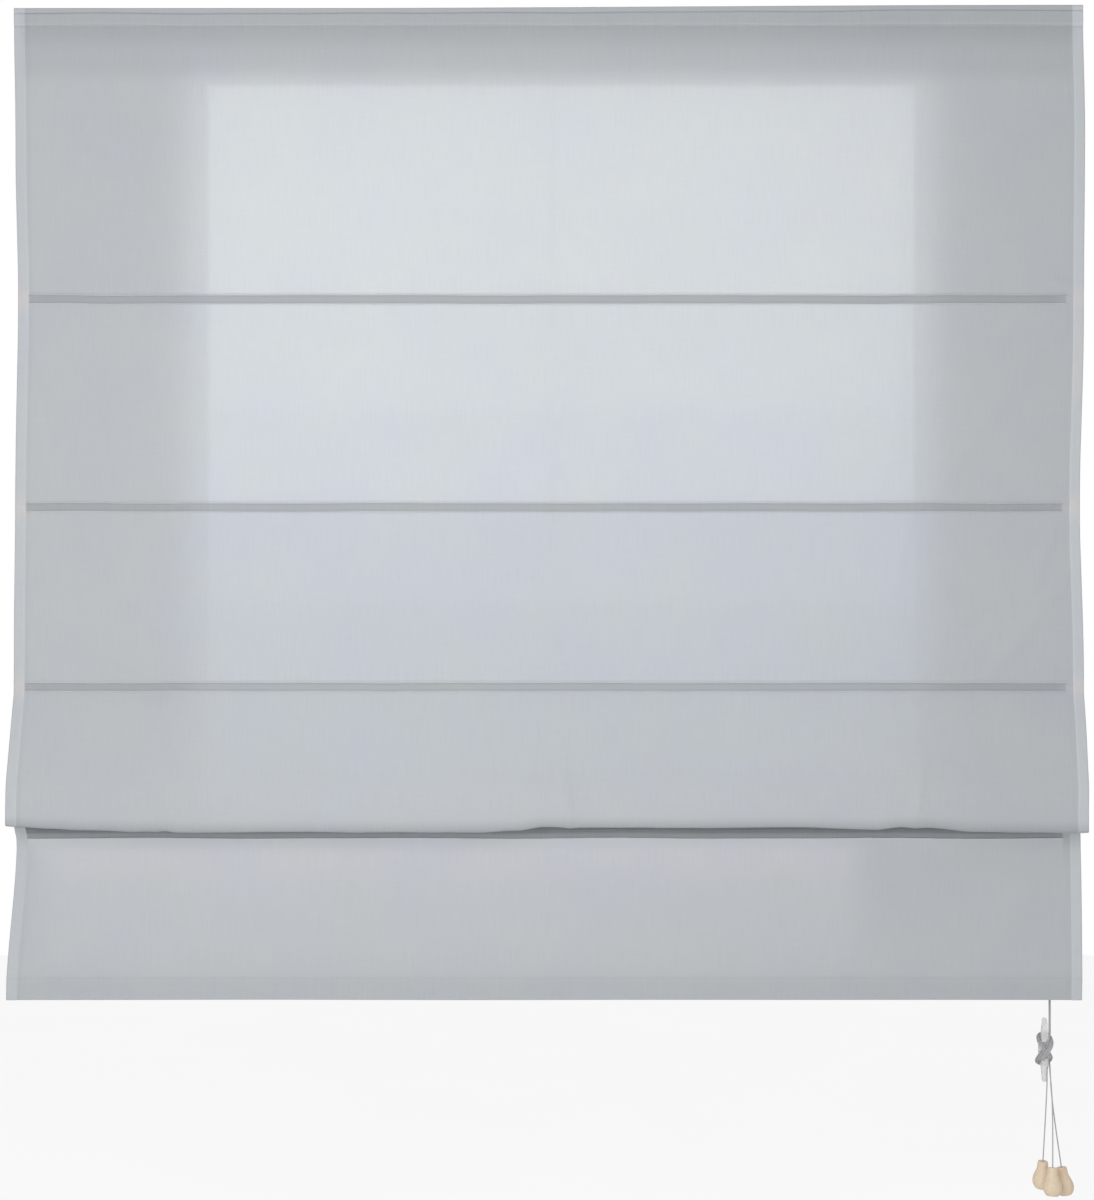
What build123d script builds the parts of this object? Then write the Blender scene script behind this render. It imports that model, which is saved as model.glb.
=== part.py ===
from build123d import *
import os
from math import radians, tan

# A corded roman blind on its wall brackets, with the cleat that its pull cords are wound on.
# Millimetres, +Z up, front towards -Y. The wall is the plane Y = 0, and the origin is on it,
# midway between the two screw holes of the centre bracket.

# ---------------------------------------------------------------- cloth
cloth_width = 1500.0
cloth_thick = 1.0
cloth_top = 18.0            # top edge above the origin
drop_rib_1 = 408.7          # top edge to the first rod
drop_rib_2 = 291.6          # first rod to the second
drop_rib_3 = 251.7          # second rod to the third
drop_rib_4 = 204.6          # third rod to the fourth, straight down past the hanging fold
drop_hem = 231.4            # fourth rod to the bottom edge
fold_reach = 50.0           # how far the hanging fold stands out in front
fold_above_rib = 9.5        # bottom of the fold above the fourth rod
fold_round = 7.0
hem_forward = 18.0          # the bottom edge hangs this far in front of the rods
hem_height = 34.0           # depth of the turned bottom hem

# ---------------------------------------------------------------- head rail
rail_inset = 8.0            # cap face in from the edge of the cloth
rail_depth = 24.0
rail_height = 26.0
rail_wall = 1.4
rail_back = 6.0             # back of the rail in front of the wall
rail_below_top = 5.2        # top of the rail under the top edge of the cloth
slot_width = 12.0           # slot along the underside
groove_mouth = 10.0         # slot along the top, over the bracket levers
groove_height = 2.6
cap_thick = 2.0
cap_plug = 8.0
tape_width = 20.0           # hook tape and loop tape
tape_thick = 1.0
tape_inset = 5.0            # each end of the loop tape in from the edge of the cloth

# ---------------------------------------------------------------- wall brackets
bracket_inset = 130.0       # outer brackets in from the edge of the cloth
bracket_width = 22.0
bracket_thick = 1.5
bracket_leg = 30.0          # upright leg on the wall
bracket_bend = 1.5          # inner bend radius
wall_hole_r = 2.25
wall_hole_pitch = 14.0
lever_thick = 1.4
lever_reach = 10.5
lever_disc_r = 5.5
lever_neck_r = 4.2
cam_length = 19.6
cam_width = 9.0
cam_thick = 1.7
rivet_r = 1.5
rivet_head_r = 3.0
rivet_head = 0.9
running = 0.06              # radial clearance of a turning fit
clear = 0.3                 # clearance between pieces that pass or lie by each other

# ---------------------------------------------------------------- cords, guides and lock
cord_r = 0.9
lane_pitch = 3.2            # the three cords run side by side along the rail
left_column = 215.0         # left cord column in from the left edge of the cloth
centre_column = 5.0         # centre cord column right of the middle
right_column = 251.0        # right cord column in from the right edge
pull_column = 46.0          # pull cords in from the right edge
cord_bend = 4.9             # radius of the cord's centre line on a pulley
flange_r = 5.6
wheel_width = 3.2
wheel_groove = 2.4
hub_r = 2.2
pin_r = 1.0
guide_length = 24.0
guide_floor = 2.0
guide_cheek = 2.0
guide_side_play = 0.2       # between a moulding and the rail's side wall
guide_head_play = 0.4       # between a moulding and the rail's ceiling
nose_length = 14.0
nose_drop = 4.0
eyelet_r = 1.6
lock_length = 34.0
lock_drop = 5.0
lock_left = 22.0            # left end of the lock, measured from the pull cords
lock_wall = 2.0
lock_nose = (10.0, 8.0)     # nose of the lock, left and right of the pull cords
lock_slot = 3.2             # cord slot, along the rail
cam_round = 3.4             # toothed cam: a circle set off from its pivot
cam_offset = 1.0
cam_face = 9.6
cam_height = 8.4            # pivot above the underside of the rail
tooth_count = 16
tooth_r = 0.25

# ---------------------------------------------------------------- ribs
rod_r = 2.0
rod_length = 1440.0
rod_shift = -5.0            # the rods sit a little to the left
pocket_height = 13.0
pocket_wall = 0.6
pocket_play = 0.3           # round the rod
ring_wire = 1.1             # radius of a ring's own section
orb_inset = 0.1             # an orb's edge in from the middle of its ring's wire
orb_height = 13.0
orb_bore = 1.3
bar_height = 22.0
bar_thick = 3.0
bar_inset = 15.0            # each end of the weight bar in from the edge of the cloth

# ---------------------------------------------------------------- cleat, winding and pulls
cleat_left = 5.5            # cleat's middle left of the pull cords
cleat_level = -1446.0
cleat_half = 45.0           # half height, to a horn's tip
cleat_width = 10.0
horn_tip_width = 6.4
foot_half = 17.0
post_half = 13.0
throat = 12.0               # wall to the back of a horn
horn_front = 20.0
cleat_hole_r = 2.1
cleat_hole_pitch = 15.0
winding_half = 24.0
winding_lobe = 12.0
winding_back = 2.5
winding_front = 28.0
winding_waist = 15.0
pull_r = 13.0
pull_height = 38.6
pull_neck_r = 6.6
pull_bore = 1.5
knot_r = 2.6
knot_well_r = 3.6
knot_well = 9.0

os.makedirs("parts", exist_ok=True)


def save(part, name):
    """Labels a finished piece and writes it as one STEP file."""
    part.label = name
    export_step(part, f"parts/{name}.step")


# ---------------------------------------------------------------- places worked out from the sizes
half_width = cloth_width / 2
rail_y = -(rail_back + rail_depth / 2)          # middle of the rail, and of the cords
rail_front = -(rail_back + rail_depth)
rail_top = cloth_top - rail_below_top
rail_bottom = rail_top - rail_height
rail_half = half_width - rail_inset - cap_thick
rail_round = rail_wall / 2
inner_width = rail_depth - 2 * rail_wall
channel_top = rail_top - rail_wall - groove_height - rail_wall
cloth_y = rail_front - 2 * tape_thick - cloth_thick / 2
cloth_back = cloth_y + cloth_thick / 2

rib_z = [cloth_top - drop_rib_1]
rib_z.append(rib_z[0] - drop_rib_2)
rib_z.append(rib_z[1] - drop_rib_3)
rib_z.append(rib_z[2] - drop_rib_4)
hem_z = rib_z[3] - drop_hem
hem_y = cloth_y - hem_forward

columns = {
    "left": -half_width + left_column,
    "centre": centre_column,
    "right": half_width - right_column,
}
lanes = {"left": rail_y - lane_pitch, "centre": rail_y, "right": rail_y + lane_pitch}
pull_x = half_width - pull_column
floor_z = rail_bottom + rail_wall + guide_floor
pin_z = floor_z + 0.5 + flange_r
cord_z = pin_z + cord_bend
nose_bottom = rail_bottom - nose_drop
lock_bottom = rail_bottom - lock_drop
moulding_width = inner_width - 2 * guide_side_play
moulding_top = channel_top - guide_head_play
cheek_gap = moulding_width - 2 * guide_cheek
cleat_x = pull_x - cleat_left

pocket_front = cloth_back + clear
bore_r = rod_r + pocket_play
rod_y = pocket_front + pocket_wall + bore_r
pocket_back = rod_y + bore_r + pocket_wall
ring_r = rail_y - pocket_back - clear - ring_wire   # a ring lies round the cords, by its tape
orb_r = ring_r - orb_inset                          # too wide to go through the ring


# ---------------------------------------------------------------- head rail
with BuildPart() as headrail:
    with BuildSketch(Plane.YZ.offset(-rail_half)):
        with Locations((rail_y, (rail_top + rail_bottom) / 2)):
            Rectangle(rail_depth, rail_height)
        with Locations((rail_y, rail_bottom + rail_wall)):
            Rectangle(
                inner_width,
                channel_top - rail_bottom - rail_wall,
                align=(Align.CENTER, Align.MIN),
                mode=Mode.SUBTRACT,
            )
        with Locations((rail_y, rail_bottom)):
            Rectangle(
                slot_width, rail_wall, align=(Align.CENTER, Align.MIN), mode=Mode.SUBTRACT
            )
        with Locations((rail_y, rail_top - rail_wall)):
            Rectangle(
                inner_width,
                groove_height,
                align=(Align.CENTER, Align.MAX),
                mode=Mode.SUBTRACT,
            )
        with Locations((rail_y, rail_top)):
            Rectangle(
                groove_mouth, rail_wall, align=(Align.CENTER, Align.MAX), mode=Mode.SUBTRACT
            )
    extrude(amount=2 * rail_half)
    outer_edges = headrail.edges().filter_by(Axis.X).group_by(Axis.Y)
    fillet(outer_edges[0] + outer_edges[-1], radius=rail_round)
save(headrail.part, "headrail")


def make_end_cap(name, side):
    """A cap closes one end of the rail and plugs into its lower channel."""
    with BuildPart() as end_cap:
        with BuildSketch(Plane.YZ.offset(side * rail_half)):
            with Locations((rail_y, (rail_top + rail_bottom) / 2)):
                RectangleRounded(rail_depth, rail_height, rail_wall)
        extrude(amount=side * cap_thick)
        plug_bottom = rail_bottom + rail_wall + clear
        with BuildSketch(Plane.YZ.offset(side * rail_half)):
            with Locations((rail_y, (plug_bottom + moulding_top) / 2)):
                Rectangle(moulding_width, moulding_top - plug_bottom)
                Rectangle(
                    cheek_gap, moulding_top - plug_bottom - 2 * guide_cheek, mode=Mode.SUBTRACT
                )
        extrude(amount=-side * cap_plug)
    save(end_cap.part, name)


make_end_cap("end_cap_left", -1)
make_end_cap("end_cap_right", 1)

# ---------------------------------------------------------------- hook tape and loop tape
with BuildPart() as hook_tape:
    with BuildSketch(Plane.XZ.offset(-rail_front)):
        with Locations((0, rail_top - rail_round)):
            Rectangle(2 * rail_half, tape_width, align=(Align.CENTER, Align.MAX))
    extrude(amount=tape_thick)
save(hook_tape.part, "hook_tape")

with BuildPart() as loop_tape:
    with BuildSketch(Plane.XZ.offset(-rail_front + tape_thick)):
        with Locations((0, rail_top - rail_round)):
            Rectangle(
                cloth_width - 2 * tape_inset, tape_width, align=(Align.CENTER, Align.MAX)
            )
    extrude(amount=tape_thick)
save(loop_tape.part, "loop_tape")

# ---------------------------------------------------------------- wall brackets and their levers
bracket_xs = {
    "left": -half_width + bracket_inset,
    "centre": 0.0,
    "right": half_width - bracket_inset,
}
lever_bottom = rail_top + clear
leg_bottom = lever_bottom + lever_thick + clear / 2
leg_top = leg_bottom + bracket_thick
cam_top = rail_top - rail_wall - clear


def make_bracket(name, x):
    """A steel angle: the upright leg takes two wall screws, the level leg carries the lever."""
    with BuildPart() as bracket:
        with BuildSketch(Plane.YZ.offset(x - bracket_width / 2)):
            with BuildLine():
                Polyline(
                    (0, leg_top),
                    (-(rail_back + rail_depth), leg_top),
                    (-(rail_back + rail_depth), leg_bottom),
                    (-bracket_thick, leg_bottom),
                    (-bracket_thick, leg_top - bracket_leg),
                    (0, leg_top - bracket_leg),
                    close=True,
                )
            make_face()
        extrude(amount=bracket_width)
        bends = bracket.edges().filter_by(Axis.X)
        inner = bends.sort_by_distance((x, -bracket_thick, leg_bottom))[0]
        outer = bends.sort_by_distance((x, 0, leg_top))[0]
        fillet(inner, radius=bracket_bend)
        fillet(outer, radius=bracket_bend + bracket_thick)
        front_corners = bracket.edges().filter_by(Axis.Z).group_by(Axis.Y)[0]
        fillet(front_corners, radius=3 * bracket_thick)
        foot_corners = bracket.edges().filter_by(Axis.Y).group_by(Axis.Z)[0]
        fillet(foot_corners, radius=2 * bracket_thick)
        with BuildSketch(Plane.XZ):
            with Locations((x, -wall_hole_pitch / 2), (x, wall_hole_pitch / 2)):
                Circle(wall_hole_r)
        extrude(amount=bracket_thick, mode=Mode.SUBTRACT)
        with BuildSketch(Plane.XY.offset(leg_bottom)):
            with Locations((x, rail_y)):
                Circle(rivet_r)
        extrude(amount=bracket_thick, mode=Mode.SUBTRACT)
    save(bracket.part, name)


def make_lever(name, x):
    """A moulded lever: its cam lies across the rail's top groove and holds the rail."""
    with BuildPart() as lever:
        with BuildSketch(Plane.XY.offset(lever_bottom)):
            with Locations((x, rail_y)):
                Circle(lever_disc_r)
                Rectangle(lever_reach, 7.0, align=(Align.MIN, Align.CENTER))
        extrude(amount=lever_thick)
        tab_end = lever.edges().filter_by(Axis.Z).group_by(Axis.X)[-1]
        fillet(tab_end, radius=2.0)
        with BuildSketch(Plane.XY.offset(lever_bottom)):
            with Locations((x, rail_y)):
                Circle(lever_neck_r)
        extrude(amount=-(lever_bottom - cam_top))
        with BuildSketch(Plane.XY.offset(cam_top)):
            with Locations((x, rail_y)):
                Rectangle(cam_width, cam_length)
                Circle(cam_length / 2 + clear, mode=Mode.INTERSECT)
        extrude(amount=-cam_thick)
        with BuildSketch(Plane.XY.offset(lever_bottom + lever_thick)):
            with Locations((x, rail_y)):
                Circle(rivet_r + running)
        extrude(amount=-2 * rail_height, mode=Mode.SUBTRACT)
        with BuildSketch(Plane.XY.offset(cam_top - cam_thick)):
            with Locations((x, rail_y)):
                Circle(rivet_head_r)
        extrude(amount=rivet_head, mode=Mode.SUBTRACT)
    save(lever.part, name)


for place, bracket_x in bracket_xs.items():
    make_bracket(f"bracket_{place}", bracket_x)
    make_lever(f"bracket_lever_{place}", bracket_x)

with BuildPart() as rivets:
    for bracket_x in bracket_xs.values():
        low_head = cam_top - cam_thick
        low_head_top = low_head + rivet_head - clear
        with BuildSketch(Plane.XY.offset(low_head)):
            with Locations((bracket_x, rail_y)):
                Circle(rivet_head_r - clear)
        extrude(amount=low_head_top - low_head)
        with BuildSketch(Plane.XY.offset(low_head_top)):
            with Locations((bracket_x, rail_y)):
                Circle(rivet_r)
        extrude(amount=leg_top - low_head_top)
        with BuildSketch(Plane.XY.offset(leg_top)):
            with Locations((bracket_x, rail_y)):
                Circle(rivet_head_r)
        extrude(amount=rivet_head)
    fillet(rivets.edges().group_by(Axis.Z)[-1], radius=rivet_head / 2)
save(rivets.part, "bracket_rivets")


# ---------------------------------------------------------------- cord guides and pulleys
def moulding(body_ends, nose_ends, nose_bottom, pins):
    """A body on the rail's lips: a floor, two cheeks with pin holes, a nose in the slot."""
    with BuildPart() as body:
        with BuildSketch(Plane.YZ.offset(body_ends[0])):
            with Locations((rail_y, rail_bottom + rail_wall)):
                Rectangle(
                    moulding_width,
                    moulding_top - rail_bottom - rail_wall,
                    align=(Align.CENTER, Align.MIN),
                )
            with Locations((rail_y, floor_z)):
                Rectangle(
                    cheek_gap,
                    moulding_top - floor_z,
                    align=(Align.CENTER, Align.MIN),
                    mode=Mode.SUBTRACT,
                )
        extrude(amount=body_ends[1] - body_ends[0])
        with BuildSketch(Plane.XY.offset(nose_bottom)):
            with Locations((sum(nose_ends) / 2, rail_y)):
                RectangleRounded(nose_ends[1] - nose_ends[0], slot_width - 2 * clear, 2.0)
        extrude(amount=floor_z - nose_bottom)
        with BuildSketch(Plane.XZ.offset(-(rail_y + moulding_width / 2))):
            with Locations(*pins):
                Circle(pin_r)
        extrude(amount=moulding_width, mode=Mode.SUBTRACT)
    return body.part


def make_guide(name, column, lane):
    """One cord guide: the cord comes up through its nose and over its pulley."""
    middle = column + cord_bend
    body = moulding(
        (middle - guide_length / 2, middle + guide_length / 2),
        (column - nose_length / 2, column + nose_length / 2),
        nose_bottom,
        [(middle, pin_z)],
    )
    with BuildPart() as guide:
        add(body)
        with BuildSketch(Plane.XY.offset(nose_bottom)):
            with Locations((column, lane)):
                Circle(eyelet_r)
        extrude(amount=floor_z - nose_bottom, mode=Mode.SUBTRACT)
        mouth = guide.edges().filter_by(GeomType.CIRCLE).group_by(Axis.Z)[0]
        chamfer(mouth.filter_by(lambda edge: abs(edge.radius - eyelet_r) < 1e-6), length=0.6)
    save(guide.part, name)


def spool(name, x, wheel_y, groove, wheel):
    """A grooved wheel on a long hub, turned about a pin across the rail."""
    hub_half = cheek_gap / 2 - clear / 2
    bottom_r = cord_bend - cord_r - clear
    with BuildPart() as turned:
        with BuildSketch(Plane.YZ.offset(x)):
            with BuildLine():
                Polyline(
                    (rail_y - hub_half, pin_z + pin_r + running),
                    (rail_y - hub_half, pin_z + hub_r),
                    (wheel_y - wheel / 2, pin_z + hub_r),
                    (wheel_y - wheel / 2, pin_z + flange_r),
                    (wheel_y - groove / 2 - 0.1, pin_z + flange_r),
                    (wheel_y - groove / 2, pin_z + bottom_r),
                    (wheel_y + groove / 2, pin_z + bottom_r),
                    (wheel_y + groove / 2 + 0.1, pin_z + flange_r),
                    (wheel_y + wheel / 2, pin_z + flange_r),
                    (wheel_y + wheel / 2, pin_z + hub_r),
                    (rail_y + hub_half, pin_z + hub_r),
                    (rail_y + hub_half, pin_z + pin_r + running),
                    close=True,
                )
            make_face()
        revolve(axis=Axis((x, rail_y, pin_z), (0, 1, 0)))
    save(turned.part, name)


for place, column in columns.items():
    make_guide(f"cord_guide_{place}", column, lanes[place])
    spool(f"guide_pulley_{place}", column + cord_bend, lanes[place], wheel_groove, wheel_width)

# ---------------------------------------------------------------- cord lock
roller_x = pull_x - cord_bend
cam_x = pull_x + cord_r + clear + cam_round + cam_offset
cam_z = rail_bottom + cam_height
lock_low = pull_x - lock_left
lock_high = lock_low + lock_length

lock_body = moulding(
    (lock_low, lock_high),
    (pull_x - lock_nose[0], pull_x + lock_nose[1]),
    lock_bottom,
    [(roller_x, pin_z), (cam_x, cam_z)],
)
with BuildPart() as cord_lock:
    add(lock_body)
    with BuildSketch(Plane.YZ.offset(lock_high - lock_wall)):
        with Locations((rail_y, floor_z)):
            Rectangle(cheek_gap, moulding_top - floor_z, align=(Align.CENTER, Align.MIN))
    extrude(amount=lock_wall)
    with BuildSketch(Plane.XY.offset(lock_bottom)):
        with Locations((pull_x, rail_y)):
            RectangleRounded(lock_slot, 2 * (lane_pitch + eyelet_r), lock_slot / 3)
    extrude(amount=floor_z - lock_bottom, mode=Mode.SUBTRACT)
save(cord_lock.part, "cord_lock")

roller_width = cheek_gap - clear
spool("lock_roller", roller_x, rail_y, roller_width - 2.2, roller_width - 0.6)

with BuildPart() as lock_cam:
    with BuildSketch(Plane.XZ.offset(-(rail_y + cam_face / 2))):
        with Locations((cam_x - cam_offset, cam_z)):
            Circle(cam_round)
            with PolarLocations(cam_round, tooth_count):
                Circle(tooth_r, mode=Mode.SUBTRACT)
    extrude(amount=cam_face)
    with BuildSketch(Plane.XZ.offset(-(rail_y + cheek_gap / 2 - clear / 2))):
        with Locations((cam_x, cam_z)):
            Circle(hub_r)
    extrude(amount=cheek_gap - clear)
    with BuildSketch(Plane.XZ.offset(-(rail_y + cheek_gap / 2))):
        with Locations((cam_x, cam_z)):
            Circle(pin_r + running)
    extrude(amount=cheek_gap, mode=Mode.SUBTRACT)
save(lock_cam.part, "lock_cam")

with BuildPart() as cross_pins:
    pin_places = [(column + cord_bend, pin_z) for column in columns.values()]
    pin_places += [(roller_x, pin_z), (cam_x, cam_z)]
    with BuildSketch(Plane.XZ.offset(-(rail_y + moulding_width / 2))):
        with Locations(*pin_places):
            Circle(pin_r)
    extrude(amount=moulding_width)
save(cross_pins.part, "cross_pins")


# ---------------------------------------------------------------- lift cords
orb_top = rib_z[3] - ring_wire - clear
cord_end_z = orb_top - orb_height / 2
for place, column in columns.items():
    lane = lanes[place]
    with BuildPart() as lift_cord:
        with BuildLine():
            FilletPolyline(
                (column, lane, cord_end_z),
                (column, lane, cord_z),
                (pull_x, lane, cord_z),
                (pull_x, lane, lock_bottom),
                radius=cord_bend,
            )
        with BuildSketch(Plane(origin=(column, lane, cord_end_z))):
            Circle(cord_r)
        sweep()
    save(lift_cord.part, f"lift_cord_{place}")

# ---------------------------------------------------------------- cloth
fold_front = cloth_y - fold_reach
fold_bottom = rib_z[3] + fold_above_rib
hem_gap = bar_thick + 2 * clear + cloth_thick
with BuildPart() as fabric:
    with BuildSketch(Plane.YZ.offset(-half_width)):
        with BuildLine():
            FilletPolyline(
                (cloth_y, cloth_top),
                (cloth_y, rib_z[2] - pocket_height),
                (fold_front + cloth_thick / 2, fold_bottom + 4 * fold_round),
                (fold_front + cloth_thick / 2, fold_bottom + cloth_thick / 2),
                (cloth_y, rib_z[3] + pocket_height / 2 + cloth_thick),
                (cloth_y, rib_z[3] - pocket_height),
                (hem_y, hem_z + hem_height),
                (hem_y, hem_z + cloth_thick / 2),
                (hem_y + hem_gap, hem_z + cloth_thick / 2),
                (hem_y + hem_gap, hem_z + hem_height),
                radius=[40, 40, fold_round, 2, 40, 40, 1, 1],
            )
        trace(line_width=cloth_thick)
    extrude(amount=cloth_width)
save(fabric.part, "fabric")

# ---------------------------------------------------------------- pocket tapes, rods, rings, orbs, weight bar
for number, z in enumerate(rib_z, start=1):
    with BuildPart() as pocket_tape:
        with BuildSketch(Plane.YZ.offset(rod_shift - rod_length / 2)):
            with Locations((pocket_front, z)):
                Rectangle(pocket_wall, pocket_height, align=(Align.MIN, Align.CENTER))
            with Locations((rod_y, z)):
                Circle(bore_r + pocket_wall)
                Circle(bore_r, mode=Mode.SUBTRACT)
        extrude(amount=rod_length)
    save(pocket_tape.part, f"pocket_tape_{number}")

    with BuildPart() as rod:
        with BuildSketch(Plane.YZ.offset(rod_shift - rod_length / 2 + 1.0)):
            with Locations((rod_y, z)):
                Circle(rod_r)
        extrude(amount=rod_length - 2.0)
        chamfer(rod.edges().filter_by(GeomType.CIRCLE), length=0.4)
    save(rod.part, f"rod_{number}")

    with BuildPart() as rings:
        with Locations(*[(column, rail_y, z) for column in columns.values()]):
            Torus(ring_r, ring_wire)
    save(rings.part, f"rings_{number}")

for place, column in columns.items():
    with BuildPart() as orb:
        with BuildSketch(Plane.XZ.offset(-lanes[place])):
            with Locations((column, cord_end_z)):
                Ellipse(orb_r, orb_height / 2)
                Rectangle(orb_r, orb_height, align=(Align.MAX, Align.CENTER), mode=Mode.SUBTRACT)
                Rectangle(orb_bore, orb_height, align=(Align.MIN, Align.CENTER), mode=Mode.SUBTRACT)
        revolve(axis=Axis((column, lanes[place], 0), (0, 0, 1)))
    save(orb.part, f"cord_orb_{place}")

with BuildPart() as hem_bar:
    with BuildSketch(Plane.XZ.offset(-(hem_y + hem_gap / 2 + bar_thick / 2))):
        with Locations((0, hem_z + cloth_thick + 1.5 + bar_height / 2)):
            RectangleRounded(cloth_width - 2 * bar_inset, bar_height, 3.0)
    extrude(amount=bar_thick)
save(hem_bar.part, "hem_bar")

# ---------------------------------------------------------------- cleat
with BuildPart() as cleat:
    with BuildSketch(Plane.YZ.offset(cleat_x - cleat_width / 2)):
        with BuildLine():
            half_outline = [
                (0, foot_half),
                (-2.0, foot_half),
                (-4.5, post_half),
                (-throat, post_half),
                (-throat - 0.5, post_half + 5.0),
                (-throat - 3.0, cleat_half),
                (-horn_front + 1.5, cleat_half),
                (-horn_front, post_half + 8.0),
            ]
            upper = [(y, cleat_level + z) for y, z in half_outline]
            lower = [(y, cleat_level - z) for y, z in reversed(half_outline)]
            Polyline(*upper, *lower, close=True)
        make_face()
    extrude(amount=cleat_width)
    with BuildSketch(Plane.XZ):
        with Locations((cleat_x, cleat_level)):
            Polygon(
                (-cleat_width / 2, -foot_half),
                (-cleat_width / 2, foot_half),
                (-horn_tip_width / 2, cleat_half),
                (horn_tip_width / 2, cleat_half),
                (cleat_width / 2, foot_half),
                (cleat_width / 2, -foot_half),
                (horn_tip_width / 2, -cleat_half),
                (-horn_tip_width / 2, -cleat_half),
                align=None,
            )
    extrude(amount=horn_front, mode=Mode.INTERSECT)
    horn_corners = cleat.edges().filter_by(Axis.Y).group_by(Axis.Z)
    fillet(horn_corners[0] + horn_corners[-1], radius=horn_tip_width / 2 - 0.4)
    front_plane = Plane(
        origin=(cleat_x, -horn_front, cleat_level), x_dir=(1, 0, 0), z_dir=(0, -1, 0)
    )
    with Locations(front_plane):
        with Locations((0, -cleat_hole_pitch / 2), (0, cleat_hole_pitch / 2)):
            CounterSinkHole(cleat_hole_r, 2 * cleat_hole_r)
save(cleat.part, "cleat")

# ---------------------------------------------------------------- winding of the pull cords on the cleat
with BuildPart() as winding:
    lobe_middle = winding_half - winding_lobe
    with BuildSketch(Plane.XZ.offset(winding_back)):
        with Locations(
            (cleat_x, cleat_level - lobe_middle), (cleat_x, cleat_level + lobe_middle)
        ):
            Circle(winding_lobe)
        with Locations((cleat_x, cleat_level)):
            Rectangle(winding_waist, 2 * lobe_middle)
    extrude(amount=winding_front - winding_back)
    fillet(winding.faces().sort_by(Axis.Y)[0].edges(), radius=2.5)
    bar_width = cleat_width + 2 * clear
    with BuildSketch(Plane.XZ.offset(throat - clear)):
        with Locations((cleat_x, cleat_level)):
            Rectangle(bar_width, 2 * cleat_half)
    extrude(amount=horn_front - throat + 2 * clear, mode=Mode.SUBTRACT)
    with BuildSketch(Plane.XZ):
        with Locations((cleat_x, cleat_level)):
            Rectangle(bar_width, 2 * (foot_half + clear))
    extrude(amount=4.5 + clear, mode=Mode.SUBTRACT)
    with BuildSketch(Plane.XZ):
        with Locations((cleat_x, cleat_level)):
            Rectangle(bar_width, 2 * (post_half + clear))
    extrude(amount=throat, mode=Mode.SUBTRACT)
save(winding.part, "cord_winding")

# ---------------------------------------------------------------- pull cords
# Each upper stretch is pulled tight between the lock and the winding's shoulder, where the
# three ends spread out by some cord radii. Points are
# (right of the cleat's middle, forward of the wall, above the cleat's middle).
shoulder = (cleat_width / 2 + 2.2, 16.1, 20.1)
upper_spread = {
    "left": (-1.0, 1.7, 0.8),
    "centre": (1.0, 0.4, -0.8),
    "right": (0.0, -2.1, 0.0),
}
lower_points = {
    "left": [(2.2, 22.2, -22.3), (2.9, 20.6, -56.0), (-1.5, 13.9, -158.0)],
    "centre": [(5.4, 22.4, -21.2), (8.4, 34.0, -80.0), (4.0, 48.0, -157.5)],
    "right": [(7.6, 16.5, -19.8), (9.8, 19.5, -80.0), (21.1, 27.5, -162.5)],
}


def place_on_cleat(point):
    """A point given from the cleat's middle, in the blind's frame."""
    right, forward, up = point
    return Vector(cleat_x + right, -forward, cleat_level + up)


def corner_radii(points):
    """The largest arc that each corner's two runs allow: 0.45 of the shorter run."""
    radii = []
    for before, corner, after in zip(points, points[1:], points[2:]):
        turn = (corner - before).get_angle(after - corner)
        shorter = min((corner - before).length, (after - corner).length)
        radii.append(0.45 * shorter / tan(radians(turn / 2)))
    return radii


def make_pull(name, top, direction):
    """A turned wooden pull: a pear with a bore for the cord and a well for its knot."""
    axis_plane = Plane(origin=top, z_dir=direction)
    side_plane = Plane(origin=top, x_dir=axis_plane.x_dir, z_dir=axis_plane.y_dir)
    profile = [
        (pull_neck_r, 0.0),
        (pull_neck_r + 0.6, 2.0),
        (pull_neck_r + 1.2, 9.0),
        (pull_r - 1.6, 19.0),
        (pull_r, 27.0),
        (pull_r - 1.2, 33.0),
        (pull_r - 5.5, pull_height),
    ]
    with BuildPart() as pull:
        with BuildSketch(side_plane):
            with BuildLine():
                Polyline((pull_bore, 0), profile[0])
                Spline(*[(r, -along) for r, along in profile])
                Polyline(
                    (profile[-1][0], -pull_height),
                    (knot_well_r, -pull_height),
                    (knot_well_r, -pull_height + knot_well),
                    (pull_bore, -pull_height + knot_well),
                    (pull_bore, 0),
                )
            make_face()
        revolve(axis=Axis(top, direction))
    save(pull.part, name)


for place in columns:
    start = Vector(pull_x, lanes[place], lock_bottom)
    spread = upper_spread[place]
    end = place_on_cleat([at + cord_r * away for at, away in zip(shoulder, spread)])
    with BuildPart() as upper_cord:
        with BuildLine():
            Line(start, end)
        with BuildSketch(Plane(origin=start, z_dir=end - start)):
            Circle(cord_r)
        sweep()
    save(upper_cord.part, f"pull_cord_upper_{place}")

    points = [place_on_cleat(point) for point in lower_points[place]]
    direction = (points[-1] - points[-2]).normalized()
    knot_middle = points[-1] + direction * (pull_height - knot_well + knot_r + clear)
    radii = corner_radii(points)
    with BuildPart() as lower_cord:
        with BuildLine():
            FilletPolyline(*points[:-1], knot_middle, radius=radii)
        with BuildSketch(Plane(origin=points[0], z_dir=points[1] - points[0])):
            Circle(cord_r)
        sweep()
        with Locations(knot_middle):
            Sphere(knot_r)
    save(lower_cord.part, f"pull_cord_lower_{place}")
    make_pull(f"pull_{place}", points[-1], direction)
    print(place, "pull cord: upper", round((end - start).length, 1), "lower radii", radii)
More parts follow.
